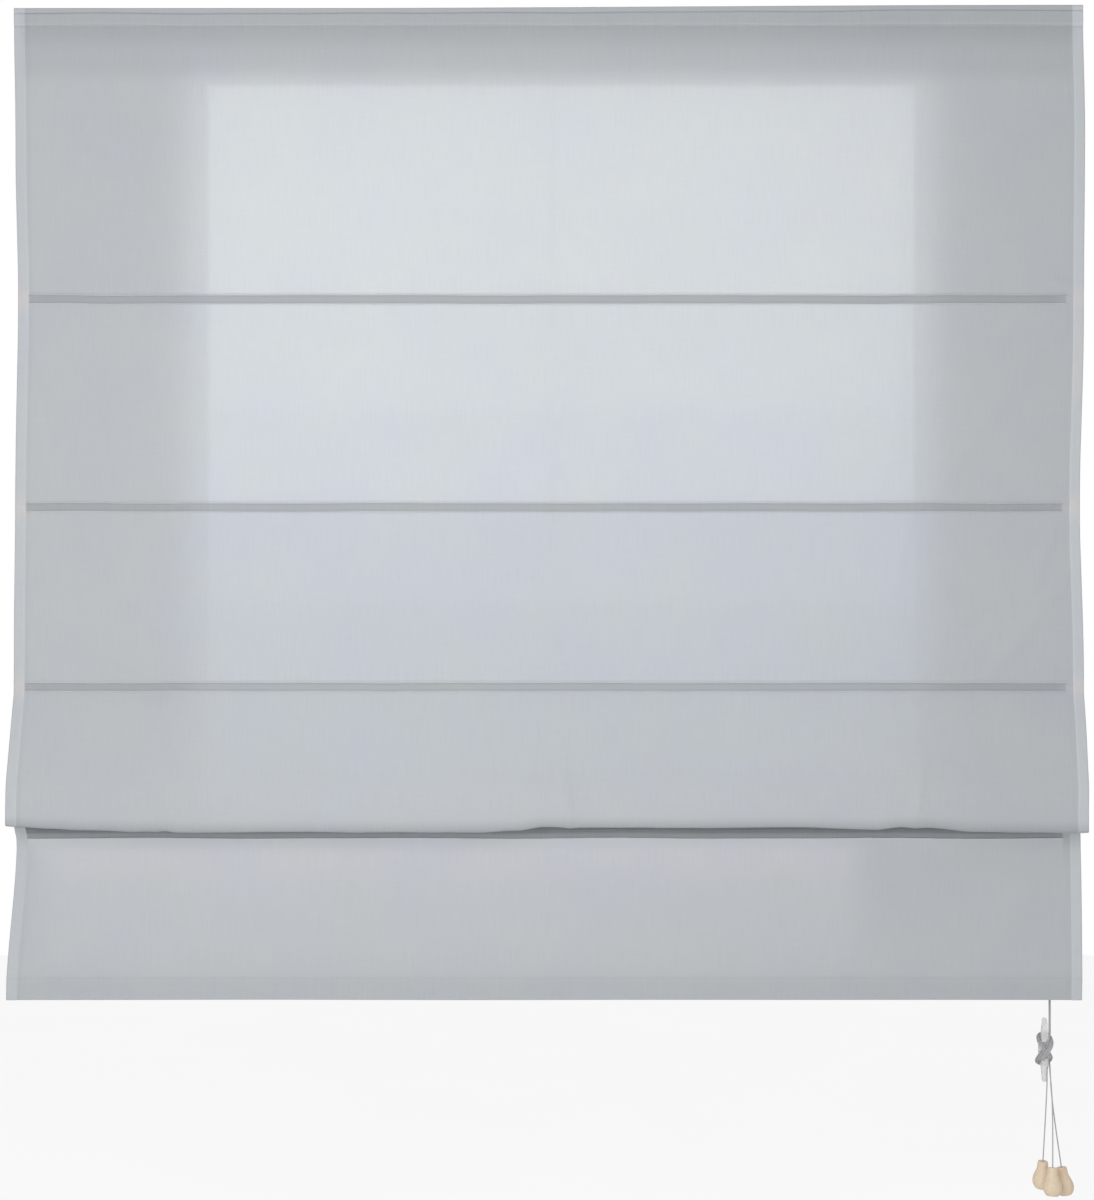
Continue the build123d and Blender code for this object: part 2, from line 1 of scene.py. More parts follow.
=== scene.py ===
# %% [markdown]
# # A corded roman blind
#
# The blind is a flat sheet of cloth that hangs from a head rail. Four rods lie in pockets
# across its back, and cords lift the rods so that the cloth folds up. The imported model
# brings the exact hard pieces. This lesson adds what makes it look real: the cloth, the
# cords, and a finish for every surface. Everything is in metres, in the model's own frame.

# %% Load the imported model
import functools
import math

import bpy
import numpy as np
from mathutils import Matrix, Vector


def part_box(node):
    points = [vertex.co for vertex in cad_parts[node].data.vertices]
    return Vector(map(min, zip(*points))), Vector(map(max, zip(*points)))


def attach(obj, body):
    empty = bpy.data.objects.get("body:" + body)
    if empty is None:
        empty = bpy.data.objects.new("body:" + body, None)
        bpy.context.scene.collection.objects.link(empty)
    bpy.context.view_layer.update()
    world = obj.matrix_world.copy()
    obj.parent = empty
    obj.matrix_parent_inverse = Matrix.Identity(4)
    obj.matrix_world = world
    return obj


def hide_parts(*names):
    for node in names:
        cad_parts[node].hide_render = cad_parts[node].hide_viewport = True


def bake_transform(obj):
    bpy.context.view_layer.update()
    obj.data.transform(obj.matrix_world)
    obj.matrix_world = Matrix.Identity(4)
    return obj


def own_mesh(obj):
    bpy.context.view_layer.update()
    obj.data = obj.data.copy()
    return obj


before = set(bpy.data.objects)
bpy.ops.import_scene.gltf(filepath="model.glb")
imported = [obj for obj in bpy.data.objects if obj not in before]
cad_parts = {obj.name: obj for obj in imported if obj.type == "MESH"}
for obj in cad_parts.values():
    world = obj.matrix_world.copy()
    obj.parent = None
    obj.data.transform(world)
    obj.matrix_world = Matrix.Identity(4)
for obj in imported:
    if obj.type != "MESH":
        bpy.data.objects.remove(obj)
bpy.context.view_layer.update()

MM = 0.001

# %% [markdown]
# ## Places read from the model
#
# A piece fits without any measuring by eye if its places come from the model itself. The
# box of each rod gives the height of a rib, and the box of the cloth gives its edges.

# %% Places of the cloth, ribs, cords and cleat


def middle(node):
    """The middle of a node's box."""
    low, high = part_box(node)
    return (low + high) / 2


cloth_low, cloth_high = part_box("fabric")
half_width = cloth_high.x
cloth_top = cloth_high.z
hem_z = cloth_low.z
cloth_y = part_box("loop_tape")[0].y - 0.5 * MM
rib_z = [middle(f"rod_{number}").z for number in (1, 2, 3, 4)]
sides = ("left", "centre", "right")
columns = {side: middle(f"cord_orb_{side}").x for side in sides}
lanes = {side: middle(f"cord_orb_{side}").y for side in sides}
pull_x = middle("pull_cord_upper_left").x
lock_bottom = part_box("cord_lock")[0].z
cleat_middle = Vector((middle("cleat").x, 0, middle("cleat").z))
rib_bodies = ("rib_1", "rib_2", "rib_3", "bottom_section")
rib_travel = (0.354, 0.262, 0.222)  # how far each of the first three ribs can rise
up = Vector((0, 0, 1))
print("ribs at", [round(z, 4) for z in rib_z], "cloth plane", round(cloth_y, 4))

# %% [markdown]
# ## Camera
#
# The blind is seen square on, from a little below its middle, so a level camera at that
# height keeps its edges upright. A long lens keeps the hanging fold from looking too big.

# %% Camera
camera_data = bpy.data.cameras.new("camera")
camera_data.lens = 62.05
camera = bpy.data.objects.new("camera", camera_data)
camera.location = (-0.0028, -2.9325, -0.812)
camera.rotation_euler = (math.radians(90), 0, 0)
bpy.context.scene.collection.objects.link(camera)
bpy.context.scene.camera = camera
bpy.context.scene.view_settings.view_transform = "Standard"
print("camera at", tuple(camera.location), "lens", camera_data.lens)

# %% [markdown]
# ## Shader sums as plain expressions
#
# A finish needs sums: a noise times a depth, plus a base tone. Wiring Math nodes by hand
# is slow to read, so `Value` wraps a socket and overloads + - and *, and `Finish` has one
# method, `add`, for every other node.

# %% Value and Finish


class Value:
    """One output of a shader node, which can be used in sums."""

    def __init__(self, finish, socket):
        self.finish, self.socket = finish, socket

    def math(self, operation, *inputs):
        return self.finish.add("ShaderNodeMath", {"operation": operation}, dict(enumerate(inputs)))

    def __add__(self, other):
        return self.math("ADD", self, other)

    def __sub__(self, other):
        return self.math("SUBTRACT", self, other)

    def __rsub__(self, other):
        return self.math("SUBTRACT", other, self)

    def __mul__(self, other):
        return self.math("MULTIPLY", self, other)

    __radd__, __rmul__ = __add__, __mul__

    def size(self):
        """The value without its sign."""
        return self.math("ABSOLUTE", self)

    def sine(self):
        return self.math("SINE", self)

    def above(self, at, soft):
        """0 below the level, 1 above it, with a soft step between."""
        return self.finish.add(
            "ShaderNodeMath",
            {"operation": "MULTIPLY_ADD", "use_clamp": True},
            {0: self, 1: 1 / soft, 2: 0.5 - at / soft},
        )

    def near(self, at, reach):
        """1 at the level, fading to 0 at that distance from it."""
        return 1 - (self - at).size().above(reach / 2, reach)


class Finish:
    """A material in the making."""

    def __init__(self, name):
        self.material = bpy.data.materials.new(name)
        self.material.use_nodes = True
        self.tree = self.material.node_tree
        self.tree.nodes.clear()

    def add(self, kind, settings=None, inputs=None, output=0):
        """Adds a node of any kind. Its settings come first, then its inputs' values or links."""
        node = self.tree.nodes.new(kind)
        for name, value in (settings or {}).items():
            setattr(node, name, value)
        for name, value in (inputs or {}).items():
            if isinstance(value, Value):
                self.tree.links.new(value.socket, node.inputs[name])
            else:
                node.inputs[name].default_value = value
        return Value(self, node.outputs[output])

    def mapped(self, at, **changes):
        """A place that is stretched by a Scale or moved by a Location."""
        return self.add("ShaderNodeMapping", None, {"Vector": at, **changes})

    def place(self, stretch=(1, 1, 1)):
        """The object's own coordinates, in metres, stretched."""
        return self.mapped(self.add("ShaderNodeTexCoord", output="Object"), Scale=stretch)

    def split(self, at):
        """The x, y and z of a place."""
        node = self.add("ShaderNodeSeparateXYZ", None, {0: at}).socket.node
        return [Value(self, output) for output in node.outputs]

    def noise(self, at, scale, detail=3.0, roughness=0.5):
        """A soft noise round 0, from about -0.5 to 0.5."""
        settings = {"Vector": at, "Scale": scale, "Detail": detail, "Roughness": roughness}
        return self.add("ShaderNodeTexNoise", None, settings) - 0.5

    def mix(self, share, one, other, blend="MIX"):
        """A colour between two others."""
        kind = {"data_type": "RGBA", "blend_type": blend}
        return self.add("ShaderNodeMix", kind, {0: share, 6: one, 7: other}, output=2)

    def shade(self, colour, depth):
        """The colour made lighter or darker by a share."""
        grey = self.add("ShaderNodeCombineColor", None, {0: depth, 1: depth, 2: depth})
        return self.mix(1.0, colour, grey, "MULTIPLY")

    def relief(self, height, distance, strength=1.0):
        """A bump from a height in shares of the distance, which is in metres."""
        return self.add(
            "ShaderNodeBump", None, {"Height": height, "Distance": distance, "Strength": strength}
        )

    def principled(self, **inputs):
        """The main surface shader. Underscores in names stand for spaces."""
        named = {name.replace("_", " "): value for name, value in inputs.items()}
        return self.add("ShaderNodeBsdfPrincipled", None, named)

    def done(self, surface):
        out = self.tree.nodes.new("ShaderNodeOutputMaterial")
        self.tree.links.new(surface.socket, out.inputs["Surface"])
        return self.material


def tone(red, green, blue):
    """A colour from the 0-255 numbers of a colour chart, as linear light."""
    shares = [c / 255 for c in (red, green, blue)]
    return (*[((c + 0.055) / 1.055) ** 2.4 if c > 0.04 else c / 12.92 for c in shares], 1.0)


# %% [markdown]
# ## Cord finish
#
# The pull cords and lift cords are braided grey polyester, 1.8 mm thick. A braid shows as
# two sets of fine slanting bands that cross. Two sines over the object's coordinates give
# that, and a noise breaks them up.

# %% Braided cord


def braided_cord(name, colour, pitch=1.3 * MM):
    finish = Finish(name)
    at = finish.place()
    x, y, along = finish.split(at)
    slant = (x + y) * 1.3
    turns = 2 * math.pi / pitch
    braid = ((along + slant) * turns).sine() * ((along - slant) * turns).sine()
    fuzz = finish.noise(at, 2500.0)
    base = finish.shade(colour, 0.96 + braid * 0.10 + fuzz * 0.18)
    relief = finish.relief(braid * 0.5 + fuzz, 0.12 * MM)
    return finish.done(finish.principled(
        Base_Color=base, Roughness=0.72 + fuzz * 0.2, Normal=relief, Sheen_Weight=0.15,
    ))


pull_cord_finish = braided_cord("pull_cord_braid", tone(182, 182, 183))
lift_cord_finish = braided_cord("lift_cord_braid", tone(222, 224, 226), 1.1 * MM)

# %% [markdown]
# ## The pull cords, wound on the cleat
#
# Three cords leave the lock, run down together to the cleat, are wound round its two
# horns in a figure of eight, and hang on down to their wooden pulls. Each is one smooth
# curve: a few control points on the straight stretches, and the turns as a loop of sums.
# A figure of eight is x = sin 2t, z = cos t. It passes behind a horn at its top and
# bottom and in front of the bar at its middle. Each turn lies in front of the one before
# and a little beside it, so that the winding fans out.

# %% Sizes of the winding
cord_r = 0.9 * MM
cord_side = 1.9 * MM            # the three cords lie side by side, this far apart
eight_half_width = 7.6 * MM
eight_half_height = 20.0 * MM
eight_middle = 12.4 * MM        # forward of the wall
eight_depth = 9.2 * MM
eight_layer = 2.9 * MM          # one turn lies this much further forward than the last
eight_fan = 2.5 * MM            # and this much beside it
middle_turn = 1.15              # the turn that isn't moved aside
first_angle, last_angle, angle_step = 70, 905, 15
# Points from the cleat's middle: where the cords arrive, and where they leave. Spreads are
# in radii of the cord, and the rest is in mm.
shoulder = Vector((7.2, -16.1, 20.1)) * MM
upper_spread = {"left": (-1.0, -1.7, 0.8), "centre": (1.0, -0.4, -0.8), "right": (0.0, 2.1, 0.0)}
lower_points = {
    "left": [
        (6.4, -15.5, -22.8), (2.2, -22.2, -22.3), (2.9, -20.6, -56.0), (-1.5, -13.9, -158.0),
    ],
    "centre": [
        (7.6, -14.8, -20.6), (5.4, -22.4, -21.2), (8.4, -34.0, -80.0), (4.0, -48.0, -157.5),
    ],
    "right": [
        (8.2, -12.0, -18.4), (7.6, -16.5, -19.8), (9.8, -19.5, -80.0), (21.1, -27.5, -162.5),
    ],
}
knot_below_top = 32.5 * MM      # the knot sits in the pull, this far below its top


def eight_point(angle, offset):
    """A point of the figure of eight for one of the cords, from the cleat's middle."""
    t = math.radians(angle)
    swing = math.sin(math.pi / 2 * math.cos(2 * t))
    turns = (angle - first_angle) / 360
    offset += eight_fan * (turns - middle_turn)
    run = Vector((2 * eight_half_width * math.cos(2 * t), 0, -eight_half_height * math.sin(t)))
    beside = Vector((-run.z, 0, run.x)).normalized() * offset
    x = eight_half_width * math.sin(2 * t)
    y = -eight_middle + eight_depth * swing - eight_layer * turns
    z = eight_half_height * math.cos(t)
    return Vector((x, y, z)) + beside


def smooth_curve(name, points, finish, closed=False, steps=6, roundness=3):
    """One NURBS spline with those control points, as a round cord."""
    data = bpy.data.curves.new(name, "CURVE")
    data.dimensions = "3D"
    spline = data.splines.new("NURBS")
    spline.points.add(len(points) - 1)
    for place, point in zip(spline.points, points):
        place.co = (*point, 1)
    spline.order_u = 3
    spline.use_cyclic_u, spline.use_endpoint_u = closed, not closed
    spline.resolution_u = steps
    data.bevel_depth, data.bevel_resolution = cord_r, roundness
    data.use_fill_caps = not closed
    data.materials.append(finish)
    made = bpy.data.objects.new(name, data)
    bpy.context.scene.collection.objects.link(made)
    return made


def as_mesh(piece):
    """Turns a curve into a mesh with the same shape."""
    bpy.ops.object.select_all(action="DESELECT")
    piece.select_set(True)
    bpy.context.view_layer.objects.active = piece
    bpy.ops.object.convert(target="MESH")
    return piece


# %% [markdown]
# The knot that holds a pull on its cord is a tight overhand knot. Its line is a trefoil,
# which closes on itself, so a short closed curve turned into a mesh gives a real knot.

# %% The knot in each pull


def tight_knot(name, at, along, points=18):
    """An overhand knot of the pull cord, drawn tight, round that point."""
    turn = (-up).rotation_difference(along)
    line = []
    for i in range(points):
        t = 2 * math.pi * i / points
        ring = 1.5 + 0.7 * math.cos(3 * t)
        point = Vector((ring * math.cos(2 * t), ring * math.sin(2 * t), 0.8 * math.sin(3 * t)))
        line.append(at + turn @ (point * MM))
    knot = as_mesh(smooth_curve(name, line, pull_cord_finish, closed=True, steps=4, roundness=2))
    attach(knot, "root")
    return knot


# %% Make the three cords
for order, side in enumerate(sides):
    start = Vector((pull_x, lanes[side], lock_bottom))
    end = cleat_middle + shoulder + Vector(upper_spread[side]) * cord_r
    before_shoulder = end + (start - end).normalized() * 12 * cord_r
    route = [start, before_shoulder, end]
    offset = (order - 1) * cord_side
    for angle in range(first_angle, last_angle, angle_step):
        route.append(cleat_middle + eight_point(angle, offset))
    hanging = [cleat_middle + Vector(point) * MM for point in lower_points[side]]
    down = (hanging[-1] - hanging[-2]).normalized()
    knot_at = hanging[-1] + down * knot_below_top
    route += hanging[:-1] + [knot_at]
    cord = smooth_curve(f"pull_cord_{side}", route, pull_cord_finish)
    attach(cord, "root")
    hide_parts(f"pull_cord_upper_{side}", f"pull_cord_lower_{side}")
    if side == "centre":
        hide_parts("cord_winding")
    knot = tight_knot(f"pull_knot_{side}", knot_at, down)
    print("pull cord", side, "with", len(route), "control points")

# %% [markdown]
# ## The lift cords
#
# Each lift cord runs from its end orb up through four rings to the rail, round a pulley,
# and along the rail to the lock. When a rib rises, the stretch above it gets shorter, so
# every stretch between two ribs is a piece of its own, which rides on the body at its upper
# end; the lowest one, down to the orb, is on no body. The curves are turned into meshes.

# %% Lift cords in stretches
wheel_r = 4.9 * MM
rail_cord_z = middle("guide_pulley_centre").z + wheel_r
guide_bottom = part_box("cord_guide_centre")[0].z
orb_z = middle("cord_orb_centre").z
bend = 1.7 * wheel_r


def gather(piece, number, length):
    """Gives a piece a mesh of its own, and works out how much of its length would be kept as the
    rib at its lower end rises.
    """
    keep = (length - rib_travel[number]) / length
    f"rib_{number + 1}_rise"
    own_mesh(piece)


for side in sides:
    x, y = columns[side], lanes[side]
    rail_route = [
        (x, y, guide_bottom), (x, y, rail_cord_z - bend), (x, y, rail_cord_z),
        (x + bend, y, rail_cord_z), ((x + pull_x) / 2, y, rail_cord_z),
        (pull_x - bend, y, rail_cord_z), (pull_x, y, rail_cord_z),
        (pull_x, y, rail_cord_z - bend), (pull_x, y, lock_bottom),
    ]
    in_rail = as_mesh(smooth_curve(f"lift_cord_rail_{side}", rail_route, lift_cord_finish))
    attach(in_rail, "root")
    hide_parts(f"lift_cord_{side}")
    ends = [guide_bottom, *rib_z[:3], orb_z]
    for number, (top, bottom) in enumerate(zip(ends, ends[1:])):
        points = [(x, y, top), (x, y, (top + bottom) / 2), (x, y, bottom)]
        name = f"lift_cord_{side}_{number + 1}"
        stretch = as_mesh(smooth_curve(name, points, lift_cord_finish))
        if number < 3:
            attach(stretch, ("root", *rib_bodies)[number])
            gather(stretch, number, top - bottom)
        else:
            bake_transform(stretch)
print("lift cords in", 5 * len(sides), "stretches")

# %% [markdown]
# ## The cloth's finish
#
# The cloth is a cool grey plain weave that lets some light through. The weave is in metres
# of flat cloth, so it needs the sheet's own UV map: u runs across and v down the drop. The
# threads are two sines, and long thin noises are the slubs, where a thread is thicker. A
# Translucent shader mixed with the main one gives the glow where light falls on the back.
# From behind its share is larger, so that the lamps there don't burn the cloth out.
#
# Three attributes that the sheets carry are painted on: `seam_and_painted_shade` makes the
# cloth darker, for stitching and as painted shade, where doubled cloth keeps the light behind
# out and where shadows fall, and lighter, as painted light, where it is negative;
# `hem_and_painted_light` makes the doubled side hems lighter, and the right one lighter still
# as painted light; `warm` turns them towards the raw thread ends' warmer grey.

# %% Cloth


def woven_cloth(name):
    finish = Finish(name)
    at = finish.add("ShaderNodeUVMap", {"uv_map": "flat_cloth"})
    across, down, _ = finish.split(at)
    thread = 2 * math.pi / (0.62 * MM)
    weave = (down * thread).sine() * (across * thread).sine()
    long_weft = finish.noise(finish.mapped(at, Scale=(30, 900, 1)), 1.0, 4.0, 0.6)
    long_warp = finish.noise(finish.mapped(at, Scale=(700, 22, 1)), 1.0, 4.0, 0.6)
    cloudy = finish.noise(at, 5.0, 4.0, 0.55)
    patch = finish.noise(finish.mapped(at, Location=(7, 3, 0)), 9.0, 2.0)
    cells = {"Vector": at, "Scale": 55.0, "Randomness": 1.0}
    nep = finish.add("ShaderNodeTexVoronoi", None, cells).near(0.0, 0.045)
    seam_and_painted_shade, hem_and_painted_light, warm = (
        finish.add("ShaderNodeAttribute", {"attribute_name": mark}, output="Fac")
        for mark in ("seam_and_painted_shade", "hem_and_painted_light", "warm")
    )
    grey = finish.mix((patch * 3.0).above(0.0, 1.6), tone(186, 190, 191), tone(184, 188, 194))
    grey = finish.mix(warm * 0.6, grey, tone(200, 194, 193))
    depth = 1.0 + long_weft * 0.10 + long_warp * 0.13 + cloudy * 0.035 + weave * 0.02
    # Painted shade and painted light come in through the two marks here.
    depth = depth + hem_and_painted_light * 0.11 - seam_and_painted_shade * 0.16 - nep * 0.10
    base = finish.shade(grey, depth)
    height = weave * 0.35 + long_weft * 0.5 + long_warp * 0.5 + nep * 0.4 - seam_and_painted_shade
    relief = finish.relief(height, 0.18 * MM, 0.8)
    front = finish.principled(
        Base_Color=base, Roughness=0.88 + long_weft * 0.1, Normal=relief, Sheen_Weight=0.12,
        Sheen_Roughness=0.5,
    )
    lit_through = {"Color": finish.shade(base, 0.92), "Normal": relief}
    through = finish.add("ShaderNodeBsdfTranslucent", None, lit_through)
    behind = finish.add("ShaderNodeNewGeometry", output="Backfacing")
    share = 0.15 + behind * 0.6
    return finish.done(finish.add("ShaderNodeMixShader", None, {0: share, 1: front, 2: through}))


cloth_finish = woven_cloth("grey_plain_weave")

# %% [markdown]
# ## How the cloth hangs
#
# Seen from the side, the cloth is one line: straight down past three ribs, then out and
# back in a hanging fold, then a little forward to the bottom hem, which is turned up round
# the weight bar. `SideLine` holds such a line with rounded corners and gives the point at
# any distance along it, so that the flat cloth's length is kept.

# %% The cloth's line, seen from the side


class SideLine:
    """A line in (forward, up) that is measured along its length."""

    def __init__(self, corners):
        points = [np.array(corners[0][:2], float)]
        for before, corner, after in zip(corners, corners[1:], corners[2:]):
            here, radius = np.array(corner[:2], float), corner[2]
            back = np.array(before[:2], float) - here
            ahead = np.array(after[:2], float) - here
            back, ahead = back / np.linalg.norm(back), ahead / np.linalg.norm(ahead)
            turn = math.pi - math.acos(max(-1.0, min(1.0, float(back @ ahead))))
            reach = radius * math.tan(turn / 2)
            for share in np.linspace(0, 1, 17):
                one = here + back * reach * (1 - share)
                other = here + ahead * reach * share
                points.append(one * (1 - share) + other * share)
        points.append(np.array(corners[-1][:2], float))
        self.points = np.array(points)
        steps = np.linalg.norm(np.diff(self.points, axis=0), axis=1)
        self.along = np.concatenate([[0], np.cumsum(steps)])
        self.length = self.along[-1]

    def point(self, distance):
        """Forward and up at those distances."""
        return np.array([np.interp(distance, self.along, side) for side in self.points.T])

    def at(self, distance):
        """Forward and up, and the unit normal that faces out, at those distances."""
        step = 0.5 * MM
        run = self.point(distance + step) - self.point(distance - step)
        run_y, run_z = run / np.maximum(np.linalg.norm(run, axis=0), 1e-12)
        return (*self.point(distance), run_z, -run_y)


band_half = 9.0 * MM                  # a rod pocket reaches this far above and below its rod
fold_front = cloth_low.y + 0.5 * MM
fold_bottom = rib_z[3] + 8.4 * MM
hem_front = cloth_y - 18.0 * MM
hem_back = hem_front + 4.6 * MM
hem_height = 34.0 * MM
fold_line = SideLine([
    (cloth_y, rib_z[2] - band_half),
    (cloth_y - 2.5 * MM, rib_z[2] - band_half - 6 * MM, 5 * MM),
    (fold_front + 3 * MM, fold_bottom + 60 * MM, 90 * MM),
    (fold_front, fold_bottom, 6 * MM),
    (cloth_y, rib_z[3] + band_half + 1.0 * MM, 3 * MM),
    (cloth_y, rib_z[3] + band_half),
])
bottom_line = SideLine([
    (cloth_y, rib_z[3] - band_half),
    (cloth_y, rib_z[3] - 24 * MM, 60 * MM),
    (hem_front, hem_z + hem_height, 70 * MM),
    (hem_front, hem_z + 0.5 * MM, 1.6 * MM),
    (hem_back, hem_z + 0.5 * MM, 1.6 * MM),
    (hem_back, hem_z + hem_height),
])
print("fold takes", round(fold_line.length, 4), "m of cloth")
print("bottom panel takes", round(bottom_line.length, 4), "m")

# %% [markdown]
# ## Edges, puckers and soft waves
#
# Hand-sewn cloth is never quite straight: each side edge wanders by a few millimetres,
# the panels between two ribs swell a little, and small creases start where a rod ends or
# a cord pulls. Each of these is a short list of places and heights, blended smoothly.

# %% Helpers that move the cloth


def smooth(x):
    """A step from 0 to 1 with no corners."""
    x = np.clip(x, 0, 1)
    return x * x * (3 - 2 * x)


def bell(distance, width):
    """1 at the middle, and near 0 at twice the width from it."""
    return np.exp(-((distance / width) ** 2))


def from_side(x):
    """How far in from the nearer side edge."""
    return half_width - np.abs(x)


def through(places, x):
    """A smooth line through (place, value) pairs, both in millimetres; x is in metres."""
    at = np.array([place for place, _ in places]) * MM
    value = np.array([amount for _, amount in places]) * MM
    i = np.clip(np.searchsorted(at, x) - 1, 0, len(at) - 2)
    share = smooth((x - at[i]) / (at[i + 1] - at[i]))
    return value[i] * (1 - share) + value[i + 1] * share


def wander(x, z, seed, size, count=7):
    """A gentle random wave round 0, the same on each run."""
    rng = np.random.default_rng(seed)
    total = 0
    for _ in range(count):
        angle, phase = rng.uniform(0, 2 * math.pi, 2)
        wave = rng.uniform(0.6, 1.8) / size
        run = x * math.cos(angle) + z * math.sin(angle)
        total = total + np.sin(run * wave * 2 * math.pi + phase)
    return total / count


# height and how far the edge stands to the right, in mm
left_edge = [
    (-1400, -3), (-1374, -6.6), (-1150, 3.4), (-1128, 0), (-940, -0.5), (-690, 1.4),
    (-391, 5.6), (-180, 2.5), (18, 0),
]
right_edge = [
    (-1400, -7.3), (-1150, -4.6), (-1120, -5.6), (-934, 0), (-683, -5.6), (-391, 0),
    (-150, 1.4), (18, -1.4),
]
crease_lift = 1.5 * MM
creases = [
    # x, z, half length, half width, turn in degrees, height, all lengths in mm
    (-8, -640, 34, 7, 62, 1.3), (6, -655, 30, 6, 118, 1.1), (-2, -714, 26, 6, 75, 0.9),
    (499, -720, 60, 9, 78, 1.1), (530, -948, 30, 8, 35, 1.6), (552, -915, 34, 8, 130, 1.2),
    (478, -960, 28, 7, 100, 1.0), (610, -560, 150, 16, 55, 1.1), (660, -860, 120, 15, 52, 1.3),
    (560, -820, 90, 12, 118, 0.9), (690, -760, 70, 12, 68, 1.0), (-700, -372, 45, 7, 24, 1.0),
    (-705, -662, 42, 7, 22, 0.9), (-700, -915, 40, 7, 26, 1.0), (715, -370, 34, 7, 152, 1.1),
    (712, -662, 36, 7, 155, 1.2), (708, -914, 36, 7, 150, 1.2), (-560, -1010, 130, 18, 80, 1.4),
    (20, -1080, 60, 10, 96, 1.6), (508, -1085, 55, 10, 84, 1.5), (-540, -1100, 40, 9, 80, 1.2),
    (330, -640, 70, 10, 128, 0.7), (-250, -1030, 150, 22, 75, 0.8), (250, -1240, 160, 30, 20, 0.9),
    (-430, -1280, 180, 30, 160, 0.9), (640, -1250, 110, 22, 60, 0.9),
    (10, -215, 130, 5, 90, 0.45), (11, -440, 70, 5, 90, 0.3),
]


def creased(x, z):
    """How far the creases lift the cloth. One flank of each is steeper than the other."""
    total = np.zeros_like(x)
    for at_x, at_z, half_length, half_wide, turn, height in creases:
        c, s = math.cos(math.radians(turn)), math.sin(math.radians(turn))
        dx, dz = x - at_x * MM, z - at_z * MM
        along, over = (dx * c + dz * s) / (half_length * MM), (dz * c - dx * s) / (half_wide * MM)
        ridge = np.exp(-along ** 2 - over ** 2)
        total += crease_lift * height * ridge * (1 - 0.55 * np.tanh(over * 1.5))
    return total


def to_edges(x, z):
    """x moved so that the two side edges wander."""
    reach = 0.35
    left = smooth(1 - (x + half_width) / reach) * through(left_edge, z)
    right = smooth(1 - (half_width - x) / reach) * through(right_edge, z)
    return x + left + right


# %% [markdown]
# ## One sheet after another
#
# The cloth is one piece on the real blind. Here it is split at the ribs, because each
# stretch follows another joint: a sewn pocket rides on its rod, and a panel between two
# ribs rides on the body at its upper edge. The pieces meet edge to edge, flat at the meeting
# line, so no seam shows. Every sheet starts as a grid, and its points are moved to where the
# flat cloth would hang. The last columns turn round to the back as a 15 mm side hem.

# %% Grid of a sheet
side_hem = 15.0 * MM
pocket_left, pocket_right = -0.7355, 0.7265
round_edge = [
    # in from the edge and how far behind the front layer, in mm
    (0.35, 0.05), (0.0, 0.45), (0.35, 0.85), (1.2, 0.9), (4.0, 0.9), (8.0, 0.9), (12.0, 0.9),
    (15.0, 0.9),
]
turned_from = 0.4               # past this far behind, in mm, the cloth runs back inwards


def column_places(turned):
    """Across the cloth: place, how far behind the front layer, and metres of flat cloth."""
    near_edge = [-half_width + d * MM for d in (1.2, 3.5, 7.0, 10.5)]
    near_edge += [-half_width + side_hem + d * MM for d in (-1.2, -0.5, 0.0, 0.5)]
    left_end = [pocket_left + d * MM for d in (1.6, 2.4, 3.2, 4.2, 6.0)]
    right_end = [pocket_right - d * MM for d in (4.0, 2.4, 1.2, 0.0, -2.0)]
    between = list(np.arange(pocket_left + 8.5 * MM, pocket_right - 7.0 * MM, 5.0 * MM))
    flat = near_edge + left_end + between + right_end + [-x for x in reversed(near_edge)]
    front = [(x, 0.0, x) for x in flat]
    if not turned:
        return [(-half_width, 0.0, -half_width)] + front + [(half_width, 0.0, half_width)]
    before, after = [], []
    for inset, back in round_edge:
        out = -half_width + inset * MM
        flat_x = -half_width + (-inset if back > turned_from else inset) * MM
        before.insert(0, (out, back * MM, flat_x))
        after.append((-out, back * MM, -flat_x))
    return before + front + after


def cloth_sheet(name, distances, hang, flat_top, turned=True):
    """A grid whose columns run across the cloth and whose rows run down it."""
    across = column_places(turned)
    columns_n, rows_n = len(across), len(distances)
    bpy.ops.object.select_all(action="DESELECT")
    bpy.ops.mesh.primitive_grid_add(x_subdivisions=columns_n - 1, y_subdivisions=rows_n - 1, size=2)
    sheet = bpy.context.active_object
    sheet.name = sheet.data.name = name
    mesh = sheet.data
    grid = np.zeros(len(mesh.vertices) * 3)
    mesh.vertices.foreach_get("co", grid)
    grid = grid.reshape(-1, 3)
    column = np.rint((grid[:, 0] + 1) / 2 * (columns_n - 1)).astype(int)
    row = np.rint((1 - grid[:, 1]) / 2 * (rows_n - 1)).astype(int)
    places = np.array(across)
    x, behind, flat_x = places[column].T
    distance = np.array(distances)[row]
    points, shown = hang(x, distance, behind)
    mesh.vertices.foreach_set("co", points.ravel())
    uv = mesh.uv_layers.new(name="flat_cloth") if not mesh.uv_layers else mesh.uv_layers[0]
    uv.name = "flat_cloth"
    corner = np.zeros(len(mesh.loops), int)
    mesh.loops.foreach_get("vertex_index", corner)
    flat = np.stack([flat_x, -(flat_top + distance)], axis=1)
    uv.data.foreach_set("uv", flat[corner].ravel())
    for mark, value in shown.items():
        attribute = mesh.attributes.new(mark, "FLOAT", "POINT")
        attribute.data.foreach_set("value", np.asarray(value, np.float32))
    mesh.materials.append(cloth_finish)
    bpy.ops.object.shade_smooth()
    mesh.update()
    print(name, columns_n, "columns", rows_n, "rows")
    return sheet


# %% [markdown]
# The marks of the side hems are worked out once for any sheet. `hem_and_painted_light` is 1
# on the left hem and more on the right one, as painted light, since it catches more light.
# `seam_and_painted_shade` is soft along the inside of the stitching, painted shade at the very
# edge, and a little negative on the stitching itself.
# `warm` marks the pinkish thread ends that show on the side hems beside three of the rods,
# and along a stretch of the right hem.

# %% Marks of the side hems
warm_reach = 16 * MM


